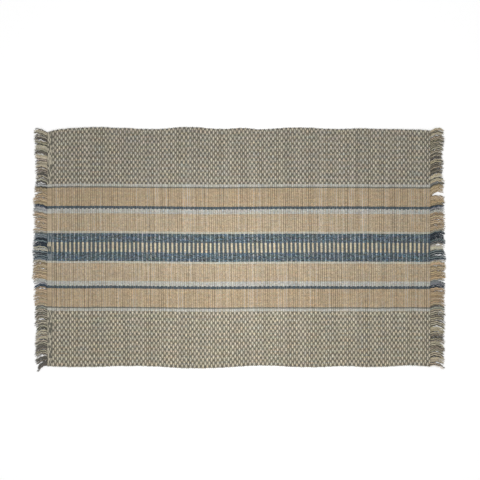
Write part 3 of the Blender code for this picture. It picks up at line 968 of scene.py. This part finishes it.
# %% Making the headings
End = namedtuple("End", "side name picks crest valley first_rib cotton")
ENDS = (
    End(-1, "heading_left", 5, HEADING_CREST, HEADING_CREST - 0.6 * MM, 300.0, heading_cotton),
    End(1, "heading_right", 2, 4.6 * MM, 3.1 * MM, float(RIB_COUNT), woven),
)
headings = {}
for end in ENDS:
    width = HEADING_WIDTHS[end.side]
    headings[end.side] = run_tree(
        end.name,
        sheet_tree,
        {
            "Centre X": end.side * (CLOTH_LENGTH / 2 + PARTING + width / 2),
            "Length": width,
            "Width": CLOTH_WIDTH,
            "Ribs": end.picks,
            "Columns per Rib": 5,
            "Rows": 121,
            "Crest": end.crest,
            "Valley": end.valley,
            "Back Relief": 0.4 * MM,
            "Middle Height": 1.4 * MM,
            "Rim Roll": 2.5 * MM,
            "End Roll": 0.3 * MM,
            "Rib Unevenness": 0.1 * MM,
            "First Rib": end.first_rib,
            "Bake Along": (0.0, 0.4, 0.0),
            "Bake Across": (0.996, 0.0, 0.0),
            "Bake Face Corner": (0.002, 0.55, 0.0),
            "Bake Back Corner": (0.002, 0.05, 0.0),
            "Bake Back Scale": 1.0,
            "Seed": 5,
            "Cotton": end.cotton,
        },
    )

# %% [markdown]
# ## The fringe
#
# The warps that run out of the heading gather into locks of ten. Nobody combed them for the photo: the
# locks are swept sideways, more at the corners, and their cut ends are ragged. The tables say how long
# each stretch of fringe is, and how far its locks are swept at their crest and at their tip. A few
# neighbouring locks have parted, and the floor shows between them. A parting opens from the share of
# the length that its row gives, and is fully open half a length further out.

# %% Fringe tables
FringeStop = namedtuple("FringeStop", "y_mm reach_mm crest_mm tip_mm")
LEFT_FRINGE = (
    FringeStop(-343, 25, -8, -17),
    FringeStop(-285, 34, 2, -7),
    FringeStop(-230, 32, 4, -3),
    FringeStop(-158, 36, 4, -1),
    FringeStop(-101, 39, 5, 1),
    FringeStop(-20, 40, 5, 3),
    FringeStop(60, 36, 5, 5),
    FringeStop(125, 38, 6, 5),
    FringeStop(175, 33, 5, 2),
    FringeStop(221, 31, 7, 3),
    FringeStop(300, 35, 6, 6),
    FringeStop(343, 35, 11, 13),
)
RIGHT_FRINGE = (
    FringeStop(-343, 40, -1, -8),
    FringeStop(-300, 41, 3, -4),
    FringeStop(-240, 40, 4, -2),
    FringeStop(-158, 40, 4, 0),
    FringeStop(-78, 44, 5, 2),
    FringeStop(-20, 41, 7, 4),
    FringeStop(40, 40, 7, 5),
    FringeStop(100, 40, 6, 4),
    FringeStop(150, 39, 8, 7),
    FringeStop(204, 35, 10, 8),
    FringeStop(270, 35, 9, 6),
    FringeStop(343, 39, 9, 6),
)
Parting = namedtuple("Parting", "y_mm open_mm from_share")
LEFT_PARTINGS = (
    Parting(293, 1.5, 0.2),
    Parting(236, 1.5, 0.2),
    Parting(150, 7, 0.3),
    Parting(-52, 4, 0.4),
    Parting(-76, 4, 0.5),
    Parting(-204, 3, 0.2),
)
RIGHT_PARTINGS = (
    Parting(249, 2.5, 0.4),
    Parting(221, 2.5, 0.4),
    Parting(148, 14, 0.0),
    Parting(93, 4, 0.5),
    Parting(22, 3, 0.3),
    Parting(-2, 3, 0.2),
    Parting(-32, 3, 0.2),
    Parting(-212, 5, 0.4),
)
PARTING_REACH = 14 * MM
CREST_AT = 0.6
YARN_RADIUS = 1.0 * MM
YARNS_PER_LOCK = 10
ROOT_INSET = 1.0 * MM
SIDE_INSET = 1.5 * MM
CRIMP_TURN = 17.0
CRIMP = 1.1 * MM
LOCK_GATHERS = 0.96
TIP_FLARE = 0.12
TIP_TAPER = 0.75
STRAY_FROM = 0.92
STRAY_REACH = 4.5 * MM
YARN_REACH = 1.6 * MM
LOCK_HUMP = 1.5 * MM
START_HEIGHT = 2.4 * MM
FRINGE_INPUTS = (
    ("Side", "NodeSocketFloat"),
    ("Root X", "NodeSocketFloat"),
    ("Width", "NodeSocketFloat"),
    ("Yarns", "NodeSocketInt"),
    ("Yarns per Lock", "NodeSocketInt"),
    ("First in Lock", "NodeSocketInt"),
    ("Steps", "NodeSocketInt"),
    ("Yarn Radius", "NodeSocketFloat"),
    ("Far Edge", "NodeSocketFloat"),
    ("Near Edge", "NodeSocketFloat"),
    ("Seed", "NodeSocketInt"),
    ("Cotton", "NodeSocketMaterial"),
)
print("fringe stops:", len(LEFT_FRINGE), "and", len(RIGHT_FRINGE))

# %% [markdown]
# One straight line is copied once for each warp, and then every point of every copy is moved by a rule.
# The rule knows which yarn a point is on, which lock the yarn is in, and how far along its yarn the
# point is.


# %% The fringe tree: yarns and locks
def grow_yarns(tree, size):
    """Add one straight line for each yarn, with the given number of steps."""
    offset = {"Count": size["Yarns"], "Offset": (0.0, 0.0, 0.0)}
    spots = add(tree, "GeometryNodeMeshLine", {"mode": "OFFSET"}, offset)
    line = add(tree, "GeometryNodeCurvePrimitiveLine", inputs={"Start": (0, 0, 0), "End": (1, 0, 0)})
    stepped = add(tree, "GeometryNodeResampleCurve", inputs={"Curve": line, "Count": size["Steps"]})
    copies = add(tree, "GeometryNodeInstanceOnPoints", inputs={"Points": spots, "Instance": stepped})
    return add(tree, "GeometryNodeRealizeInstances", inputs={"Geometry": copies})


Spot = namedtuple("Spot", "yarn share lock in_lock root_y lock_y near_side")


def add_spot(tree, size):
    """Add which yarn and lock a point is on, how far along it is, and where both of them start."""
    of_yarn = add(tree, "GeometryNodeCurveOfPoint")
    yarn = of_yarn.outputs["Curve Index"]
    last_step = add(tree, MATH, "SUBTRACT", [size["Steps"], 1.0])
    share = add(tree, MATH, "DIVIDE", [of_yarn.outputs["Index in Curve"], last_step])
    counted = add(tree, MATH, "ADD", [yarn, size["First in Lock"]])
    locks_along = add(tree, MATH, "DIVIDE", [counted, size["Yarns per Lock"]])
    lock = add(tree, MATH, "FLOOR", [locks_along])
    in_lock = add(tree, MATH, "FRACT", [locks_along])
    pitch = add(tree, MATH, "DIVIDE", [size["Width"], size["Yarns"]])
    near_side = add(tree, MATH, "MULTIPLY", [size["Width"], -0.5])
    yarn_middle = add(tree, MATH, "ADD", [yarn, 0.5])
    root_y = add(tree, MATH, "MULTIPLY_ADD", [yarn_middle, pitch, near_side])
    lock_middle = add(tree, MATH, "ADD", [lock, 0.5])
    lock_width = add(tree, MATH, "MULTIPLY", [pitch, size["Yarns per Lock"]])
    first_lock_y = add(tree, MATH, "MULTIPLY", [size["First in Lock"], pitch])
    lock_start = add(tree, MATH, "SUBTRACT", [near_side, first_lock_y])
    lock_y = add(tree, MATH, "MULTIPLY_ADD", [lock_middle, lock_width, lock_start])
    return Spot(yarn, share, lock, in_lock, root_y, lock_y, near_side)


print("each point of a yarn knows its", ", ".join(Spot._fields))

# %% [markdown]
# Chance gives each lock and each yarn its own length and its own way, from a fixed seed. The sweep of a
# lock is an arch from its root to its crest and on to its tip, with both read from the tables.

# %% The fringe tree: chance and sweep
def add_chances(tree, seed, lock, yarn):
    """Add one random number node for each thing that is left to chance, for a lock or for a yarn."""
    chances = {}
    for number, (name, who, low, high) in enumerate(
        (
            ("lock reach", lock, -2.0 * MM, 2.0 * MM),
            ("lock crest", lock, -2.0 * MM, 2.0 * MM),
            ("lock tip", lock, -3.0 * MM, 3.0 * MM),
            ("lock height", lock, 0.0, 1.2 * MM),
            ("yarn reach", yarn, -2.5 * MM, 4.0 * MM),
            ("yarn side", yarn, -1.0, 1.0),
            ("yarn phase", yarn, -0.9, 0.9),
            ("yarn layer", yarn, 0.0, 1.3 * MM),
            ("yarn pick", yarn, 0.0, 1.0),
            ("yarn stray", yarn, 0.0, 1.0),
            ("yarn root", yarn, -0.5 * MM, 1.6 * MM),
            ("lock phase", lock, 0.0, 2 * math.pi),
            ("lock colour", lock, 0.0, 1.0),
        )
    ):
        own_seed = add(tree, MATH, "ADD", [seed, float(number)])
        chance = add(
            tree,
            "FunctionNodeRandomValue",
            {"data_type": "FLOAT"},
            {"Min": low, "Max": high, "ID": who, "Seed": own_seed},
        )
        chances[name] = chance.outputs[1]
    return chances


def add_sweep(tree, table, chances, end_share, share):
    """Add the sideways sweep of a lock: an arch to its crest, and then on to its tip."""
    crest_table = add_table(tree, table, "crest_mm", end_share)
    crest = add(tree, MATH, "ADD", [crest_table, chances["lock crest"]])
    tip_table = add_table(tree, table, "tip_mm", end_share)
    tip = add(tree, MATH, "ADD", [tip_table, chances["lock tip"]])
    left = add(tree, MATH, "SUBTRACT", [1.0, share])
    arch = add(tree, MATH, "MULTIPLY", [share, left])
    full_arch = add(tree, MATH, "DIVIDE", [arch, CREST_AT * (1 - CREST_AT)])
    past_crest = add(tree, MATH, "SUBTRACT", [share, CREST_AT])
    fall = add(tree, MATH, "MULTIPLY", [share, past_crest])
    full_fall = add(tree, MATH, "DIVIDE", [fall, 1 - CREST_AT])
    risen = add(tree, MATH, "MULTIPLY", [crest, full_arch])
    return add(tree, MATH, "MULTIPLY_ADD", [tip, full_fall, risen])


def add_partings(tree, partings, lock_y, share, y):
    """Push the locks on both sides of each parting away from it."""
    for parting in partings:
        start = parting.from_share
        opening = add(tree, "ShaderNodeMapRange", SMOOTH, [share, start, start + 0.5, 0.0, 1.0])
        away = add(tree, MATH, "SUBTRACT", [lock_y, parting.y_mm * MM])
        side = add(tree, MATH, "SIGN", [away])
        far_off = add(tree, MATH, "DIVIDE", [away, PARTING_REACH])
        squared = add(tree, MATH, "MULTIPLY", [far_off, far_off])
        below_zero = add(tree, MATH, "MULTIPLY", [squared, -1.0])
        faded = add(tree, MATH, "EXPONENT", [below_zero])
        pushed = add(tree, MATH, "MULTIPLY", [side, faded])
        pushed = add(tree, MATH, "MULTIPLY", [pushed, opening])
        y = add(tree, MATH, "MULTIPLY_ADD", [pushed, parting.open_mm * MM / 2, y])
    return y


print("thirteen things are left to chance, for each lock or each yarn")

# %% [markdown]
# In plan a yarn starts at its warp, draws in a little to its lock's middle and flares out at its tip.
# Every yarn keeps the crimp of the weave as a small wave, and the yarns of a lock wave nearly together.
# One in twelve strays from its lock.


# %% The fringe tree: places in plan
def add_out(tree, size, spot, chances, table, end_share):
    """Add how far out along the rug a point lies."""
    reach = add_table(tree, table, "reach_mm", end_share)
    lock_reach = add(tree, MATH, "ADD", [reach, chances["lock reach"]])
    yarn_reach = add(tree, MATH, "ADD", [lock_reach, chances["yarn reach"]])
    root_x = add(tree, MATH, "SUBTRACT", [size["Root X"], chances["yarn root"]])
    out = add(tree, MATH, "MULTIPLY_ADD", [yarn_reach, spot.share, root_x])
    return add(tree, MATH, "MULTIPLY", [out, size["Side"]])


def add_sideways(tree, size, spot, chances, table, partings, end_share):
    """Add how far across the rug a point lies, with its lock's sweep and the partings."""
    share = spot.share
    drawn = add(tree, "ShaderNodeMapRange", SMOOTH, [share, 0.0, 0.5, 1.0, LOCK_GATHERS])
    flare = add(tree, MATH, "POWER", [share, 3.0])
    spread = add(tree, MATH, "MULTIPLY_ADD", [flare, TIP_FLARE, drawn])
    from_lock = add(tree, MATH, "SUBTRACT", [spot.root_y, spot.lock_y])
    in_place = add(tree, MATH, "MULTIPLY_ADD", [from_lock, spread, spot.lock_y])
    sweep = add_sweep(tree, table, chances, end_share, share)
    y = add(tree, MATH, "ADD", [in_place, sweep])
    stray = add(tree, MATH, "GREATER_THAN", [chances["yarn stray"], STRAY_FROM])
    stray_far = add(tree, MATH, "MULTIPLY_ADD", [stray, STRAY_REACH, YARN_REACH])
    own_way = add(tree, MATH, "MULTIPLY", [chances["yarn side"], stray_far])
    squared = add(tree, MATH, "MULTIPLY", [share, share])
    y = add(tree, MATH, "MULTIPLY_ADD", [own_way, squared, y])
    phase = add(tree, MATH, "ADD", [chances["lock phase"], chances["yarn phase"]])
    wave_turn = add(tree, MATH, "MULTIPLY_ADD", [share, CRIMP_TURN, phase])
    wave = add(tree, MATH, "SINE", [wave_turn])
    wave_size = add(tree, "ShaderNodeMapRange", inputs=[share, 0.0, 0.3, 0.0, CRIMP])
    y = add(tree, MATH, "MULTIPLY_ADD", [wave, wave_size, y])
    y = add_partings(tree, partings, spot.lock_y, share, y)
    side_reach = add(tree, MATH, "DIVIDE", [spot.root_y, spot.near_side])
    for edge, way in ((size["Far Edge"], -1.0), (size["Near Edge"], 1.0)):
        toward = add(tree, MATH, {"operation": "MULTIPLY", "use_clamp": True}, [side_reach, way])
        near_rim = add(tree, MATH, "POWER", [toward, EDGE_REACH])
        moved = add(tree, MATH, "MULTIPLY", [near_rim, edge])
        y = add(tree, MATH, "MULTIPLY_ADD", [moved, -way, y])
    return y


print("a yarn's crimp is", round(CRIMP / MM, 1), "mm to each side")

# %% [markdown]
# A lock is a round bundle, so its middle yarns lie higher than its outer ones. It leaves the heading at
# about half the cloth's thickness, humps a little, and sinks towards the floor at its tip.


# %% The fringe tree: heights
def add_height(tree, size, spot, chances):
    """Add how high a point lies."""
    rest = add(tree, MATH, "MULTIPLY", [size["Yarn Radius"], 1.05])
    hump_turn = add(tree, MATH, "MULTIPLY", [spot.in_lock, math.pi])
    hump = add(tree, MATH, "SINE", [hump_turn])
    in_bundle = add(tree, MATH, "MULTIPLY_ADD", [hump, LOCK_HUMP, rest])
    in_layer = add(tree, MATH, "ADD", [in_bundle, chances["yarn layer"]])
    layer = add(tree, MATH, "ADD", [in_layer, chances["lock height"]])
    leaving = add(tree, "ShaderNodeMapRange", SMOOTH, [spot.share, 0.0, 0.3, 0.0, 1.0])
    settling = add(tree, "ShaderNodeMapRange", SMOOTH, [spot.share, 0.6, 1.0, 0.0, 0.6])
    risen = add(tree, "ShaderNodeMix", {"data_type": "FLOAT"}, {0: leaving, 2: START_HEIGHT, 3: layer})
    return add(tree, "ShaderNodeMix", {"data_type": "FLOAT"}, {0: settling, 2: risen, 3: rest})


print("a lock humps by", round(LOCK_HUMP / MM, 1), "mm")

# %% [markdown]
# Before the points move, they are told what the cotton will ask for. The section that is then swept
# along each yarn has only five sides: it is a yarn of two millimetres, and there are hundreds.


# %% The fringe tree: the whole
def tell(tree, geometry, name, value):
    """Add a node that stores a value on every point under this name."""
    return add(
        tree,
        "GeometryNodeStoreNamedAttribute",
        {"data_type": "FLOAT_VECTOR", "domain": "POINT"},
        {"Geometry": geometry, "Name": name, "Value": value},
    )


def spin_yarns(tree, size, curves):
    """Sweep a round section along the curves and give them their cotton."""
    sides = {"Resolution": 5, "Radius": 1.0}
    ring = add(tree, "GeometryNodeCurvePrimitiveCircle", {"mode": "RADIUS"}, sides)
    around = tell(tree, ring, "around", add(tree, "GeometryNodeInputPosition"))
    section_size = add(tree, "ShaderNodeCombineXYZ", inputs=[size["Yarn Radius"]] * 3)
    section = add(tree, "GeometryNodeTransform", inputs={"Geometry": around, "Scale": section_size})
    thickness = add(tree, "GeometryNodeInputRadius")
    tubes = add(
        tree,
        "GeometryNodeCurveToMesh",
        inputs={"Curve": curves, "Profile Curve": section, "Scale": thickness, "Fill Caps": True},
    )
    smoothed = add(tree, "GeometryNodeSetShadeSmooth", inputs={"Geometry": tubes, "Shade Smooth": True})
    realized = add(tree, "GeometryNodeRealizeInstances", inputs={"Geometry": smoothed})
    return add(tree, "GeometryNodeSetMaterial", inputs={"Geometry": realized, "Material": size["Cotton"]})


def make_fringe_tree(name, table, partings):
    """Build the tree that grows a fringe whose sweep follows this table and these partings."""
    tree, size, result = start_tree(name, FRINGE_INPUTS)
    yarns = grow_yarns(tree, size)
    spot = add_spot(tree, size)
    chances = add_chances(tree, size["Seed"], spot.lock, spot.yarn)
    ends = (table[0].y_mm * MM, table[-1].y_mm * MM)
    end_share = add(tree, "ShaderNodeMapRange", inputs=[spot.lock_y, *ends, 0.0, 1.0])
    x = add_out(tree, size, spot, chances, table, end_share)
    y = add_sideways(tree, size, spot, chances, table, partings, end_share)
    z = add_height(tree, size, spot, chances)
    root_mm = add(tree, MATH, "DIVIDE", [spot.root_y, MM])
    along_mm = add(tree, MATH, "DIVIDE", [x, MM])
    facts = add(tree, "ShaderNodeCombineXYZ", inputs=[along_mm, root_mm, chances["yarn pick"]])
    lock_list = [spot.in_lock, chances["lock colour"], spot.share]
    lock_facts = add(tree, "ShaderNodeCombineXYZ", inputs=lock_list)
    told_yarn = tell(tree, yarns, "weave", facts)
    told = tell(tree, told_yarn, "lock", lock_facts)
    tip_share = add(tree, MATH, "POWER", [spot.share, 3.0])
    tapered = add(tree, "ShaderNodeMapRange", inputs=[tip_share, 0.0, 1.0, 1.0, TIP_TAPER])
    sized = add(tree, "GeometryNodeSetCurveRadius", inputs={"Curve": told, "Radius": tapered})
    place = add(tree, "ShaderNodeCombineXYZ", inputs=[x, y, z])
    placed = add(tree, "GeometryNodeSetPosition", inputs={"Geometry": sized, "Position": place})
    tree.links.new(spin_yarns(tree, size, placed).outputs[0], result.inputs[0])
    print(name, "nodes:", len(tree.nodes))
    return tree


fringe_trees = {
    -1: make_fringe_tree("left fringe", LEFT_FRINGE, LEFT_PARTINGS),
    1: make_fringe_tree("right fringe", RIGHT_FRINGE, RIGHT_PARTINGS),
}

# %% [markdown]
# ## The fringe's cotton
#
# Free of the weave, each yarn shows its whole side and both of its twisted plies. Both sets of warps
# come out side by side, so light and dark yarns mix by chance. Two neighbours mostly share a colour,
# because the warps were threaded in pairs, and a whole lock leans to the light or the dark set. The
# twist is no shape of its own: a groove of painted shade, sunk as bump, winds round the yarn. Close to
# the heading the yarns crowd together, and hardly any light gets between them, nor between two locks,
# so shade is painted there: the yarns are darker near their roots and at the outer edges of each lock,
# and a lock's middle yarns are painted lighter. The right end is a little browner.

# %% The fringe's cotton
PLY_LAY = 5.0
LOCK_LEANS = (-0.36, 0.26)
YARN_TONE = (0.8, 1.2)
LOOSE_SLUB_TONE = (0.78, 1.22)
GROOVE_SHADE = 0.62
ROOT_SHADE = 0.66
LOCK_LIGHT_AND_SHADE = (1.14, 0.68)
RIGHT_END = (-0.03, -0.05, -0.1)
LOOSE_FUZZ_SCALE = 1800.0
LOOSE_RELIEF = 0.25 * MM
fringe_cotton, tree, shader = start_material("spun cotton, loose two-ply ends")
weave = add(tree, "ShaderNodeAttribute", {"attribute_name": "weave"})
around = add(tree, "ShaderNodeAttribute", {"attribute_name": "around"})
facts = add(tree, "ShaderNodeSeparateXYZ", inputs=[weave.outputs["Vector"]])
plan = add(tree, "ShaderNodeGroup", {"node_tree": stripe_group}, [facts.outputs["Y"]])
pairs_across = add(tree, MATH, "DIVIDE", [facts.outputs["Y"], 2 * WARP_PITCH / MM])
pair = add(tree, MATH, "FLOOR", [pairs_across])
pair_luck = add(tree, "ShaderNodeTexWhiteNoise", {"noise_dimensions": "1D"}, {"W": pair})
halved_pair = add(tree, MATH, "MULTIPLY", [pair, 0.5])
every_other = add(tree, MATH, "FRACT", [halved_pair])
lock_values = add(tree, "ShaderNodeAttribute", {"attribute_name": "lock"})
lock_facts = add(tree, "ShaderNodeSeparateXYZ", inputs=[lock_values.outputs["Vector"]])
from_lock_middle = add(tree, MATH, "SUBTRACT", [lock_facts.outputs["X"], 0.5])
to_lock_edge = add(tree, MATH, "ABSOLUTE", [from_lock_middle])
lock_shade = add(tree, "ShaderNodeMapRange", inputs=[lock_facts.outputs["Y"], 0.0, 1.0, *LOCK_LEANS])
pair_chance = add(tree, MATH, "MULTIPLY_ADD", [pair_luck.outputs["Value"], 0.5, lock_shade])
mixed_pair = add(tree, MATH, "ADD", [pair_chance, every_other])
loose_share = add(tree, "ShaderNodeMapRange", SMOOTH, [mixed_pair, 0.4, 0.56, 0.0, 1.0])
own_set = add(
    tree,
    "ShaderNodeMix",
    {"data_type": "RGBA"},
    {0: loose_share, 6: plan.outputs["Loose light"], 7: plan.outputs["Loose dark"]},
)
tint = add(
    tree,
    VECTOR,
    "MULTIPLY_ADD",
    [pair_luck.outputs["Color"], (0.14, 0.08, 0.18), (0.93, 0.96, 0.91)],
)
by_pair = add(tree, VECTOR, "MULTIPLY", [own_set.outputs[2], tint])
print("loose yarns lean to one set by", LOCK_LEANS)

# %% The fringe's cotton: twist and shade
by_yarn = vary(tree, by_pair, facts.outputs["Z"], *YARN_TONE)
yarn_key = add(tree, MATH, "MULTIPLY", [facts.outputs["Z"], 977.0])
slub_place = add(tree, "ShaderNodeCombineXYZ", inputs=[facts.outputs["X"], yarn_key, 0.0])
slubs = add(tree, "ShaderNodeTexNoise", inputs={"Vector": slub_place, "Scale": 0.2, "Detail": 3.0})
by_slub = vary(tree, by_yarn, slubs.outputs["Fac"], *LOOSE_SLUB_TONE)
ring_place = add(tree, "ShaderNodeSeparateXYZ", inputs=[around.outputs["Vector"]])
angle = add(tree, MATH, {"operation": "ARCTAN2"}, [ring_place.outputs["Y"], ring_place.outputs["X"]])
wound = add(tree, MATH, "MULTIPLY_ADD", [facts.outputs["X"], 2 * math.pi / PLY_LAY, angle])
ply_cosine = add(tree, MATH, "COSINE", [wound])
ply_wave = add(tree, MATH, "ABSOLUTE", [ply_cosine])
# Painted shade in the groove where the two plies meet.
groove_shade = add(tree, "ShaderNodeMapRange", SMOOTH, [ply_wave, 0.0, 0.45, GROOVE_SHADE, 1.0])
groove_shaded = add(tree, VECTOR, "SCALE", {0: by_slub, "Scale": groove_shade})
# Painted shade near the roots, where the yarns crowd, and on the outer yarns of each lock; a lock's
# middle yarns are painted lighter.
crowding_shade = add(tree, "ShaderNodeMapRange", inputs=[lock_facts.outputs["Z"], 0.0, 0.16, ROOT_SHADE, 1.0])
edge_shade = add(tree, "ShaderNodeMapRange", SMOOTH, [to_lock_edge, 0.25, 0.5, *LOCK_LIGHT_AND_SHADE])
lock_shaded = add(tree, VECTOR, "SCALE", {0: groove_shaded, "Scale": edge_shade})
crowd_shaded = add(tree, VECTOR, "SCALE", {0: lock_shaded, "Scale": crowding_shade})
right_end = add(tree, MATH, "GREATER_THAN", [facts.outputs["X"], 0.0])
end_tint = add(tree, VECTOR, "MULTIPLY_ADD", [right_end, RIGHT_END, (0.98, 0.98, 0.99)])
by_end = add(tree, VECTOR, "MULTIPLY", [crowd_shaded.outputs[0], end_tint.outputs[0]])
tree.links.new(by_end.outputs[0], shader.inputs["Base Color"])
object_place = add(tree, "ShaderNodeTexCoord")
fuzz = add(
    tree,
    "ShaderNodeTexNoise",
    inputs={"Vector": object_place.outputs["Object"], "Scale": LOOSE_FUZZ_SCALE, "Detail": 2.0},
)
ply_and_fuzz = add(tree, MATH, "MULTIPLY_ADD", [fuzz.outputs["Fac"], FUZZ_SHARE, ply_wave])
relief_height = add(tree, MATH, "MULTIPLY", [ply_and_fuzz, LOOSE_RELIEF])
bump = add(tree, "ShaderNodeBump", inputs={"Strength": 1.0, "Distance": 1.0, "Height": relief_height})
tree.links.new(bump.outputs["Normal"], shader.inputs["Normal"])
print("fringe cotton nodes:", len(tree.nodes))

# %% Making the fringe
fringes = {}
for side, name in ((-1, "fringe_yarns_left"), (1, "fringe_yarns_right")):
    end = 0 if side < 0 else -1
    fringes[side] = run_tree(
        name,
        fringe_trees[side],
        {
            "Side": float(side),
            "Root X": CLOTH_LENGTH / 2 + PARTING + HEADING_WIDTHS[side] - ROOT_INSET,
            "Width": CLOTH_WIDTH - 2 * SIDE_INSET,
            "Yarns": WARP_COUNT,
            "Yarns per Lock": YARNS_PER_LOCK,
            "First in Lock": 4 if side > 0 else 0,
            "Steps": 12,
            "Yarn Radius": YARN_RADIUS,
            "Far Edge": FAR_EDGE[end].out_mm * MM,
            "Near Edge": NEAR_EDGE[end].out_mm * MM,
            "Seed": 11 + 20 * side,
            "Cotton": fringe_cotton,
        },
    )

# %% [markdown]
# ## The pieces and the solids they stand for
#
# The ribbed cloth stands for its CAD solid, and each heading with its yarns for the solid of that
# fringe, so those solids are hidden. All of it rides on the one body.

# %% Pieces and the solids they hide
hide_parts("rug_cloth")
for side, node in ((-1, "fringe_left"), (1, "fringe_right")):
    for piece in (headings[side], fringes[side]):
        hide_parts(node)
        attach(piece, "root")
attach(cloth, "root")

# %% [markdown]
# ## Floor, light and camera
#
# The photo is taken from straight above on white, in light so soft that the rug hardly throws a shadow.
# The rug is a little brighter in its middle than at its ends, so one soft lamp hangs low over it, and
# the white world gives the rest.

# %% Floor
floor_mesh = bpy.data.meshes.new("floor")
FLOOR_HALF = 6.0
floor_mesh.from_pydata(
    [(x * FLOOR_HALF, y * FLOOR_HALF, 0.0) for x, y in ((-1, -1), (1, -1), (1, 1), (-1, 1))],
    [],
    [(0, 1, 2, 3)],
)
floor = bpy.data.objects.new("floor", floor_mesh)
bpy.context.scene.collection.objects.link(floor)
paper = bpy.data.materials.new("matt white paper")
paper.use_nodes = True
paper_shader = paper.node_tree.nodes["Principled BSDF"]
paper_shader.inputs["Base Color"].default_value = linear("#fdfdfd")
paper_shader.inputs["Roughness"].default_value = 0.95
paper_shader.inputs["Specular IOR Level"].default_value = 0.1
floor_mesh.materials.append(paper)
print("floor side in metres:", 2 * FLOOR_HALF)

# %% Light
LAMP_SIDE = 0.35
LAMP_WATTS = 1.3
LAMP_HEIGHT = 0.45
LAMP_TOWARDS_VIEWER = 0.06
WORLD_STRENGTH = 0.995
world = bpy.data.worlds.new("soft studio")
bpy.context.scene.world = world
world.use_nodes = True
world.node_tree.nodes["Background"].inputs["Color"].default_value = (1.0, 1.0, 1.0, 1.0)
world.node_tree.nodes["Background"].inputs["Strength"].default_value = WORLD_STRENGTH
lamp_data = bpy.data.lights.new("soft box", "AREA")
lamp_data.shape = "SQUARE"
lamp_data.size = LAMP_SIDE
lamp_data.energy = LAMP_WATTS
lamp = bpy.data.objects.new("soft box", lamp_data)
lamp.location = (0.0, -LAMP_TOWARDS_VIEWER, LAMP_HEIGHT)
lamp.visible_camera = False
bpy.context.scene.collection.objects.link(lamp)
bpy.context.scene.view_settings.view_transform = "Standard"
print("lamp energy in watts:", lamp_data.energy)

# %% [markdown]
# The camera hangs straight above. The photo is 480 pixels wide and a pixel is 2.876 mm of rug, and the
# rug's middle lies a little below and left of the picture's middle. A long lens from high up keeps the
# edges as parallel as in the photo.

# %% Camera
PIXEL = 2.876 * MM
PHOTO_SIDE = 480
RUG_MIDDLE_X = 239.3
RUG_MIDDLE_Y = 247.0
LENS = 85.0
SENSOR = 36.0
camera_data = bpy.data.cameras.new("camera")
camera_data.lens = LENS
camera_data.sensor_width = SENSOR
camera = bpy.data.objects.new("camera", camera_data)
camera.location = (
    (PHOTO_SIDE / 2 - RUG_MIDDLE_X) * PIXEL,
    (RUG_MIDDLE_Y - PHOTO_SIDE / 2) * PIXEL,
    PHOTO_SIDE * PIXEL * LENS / SENSOR,
)
bpy.context.scene.collection.objects.link(camera)
bpy.context.scene.camera = camera
print("camera height in metres:", round(camera.location.z, 3))
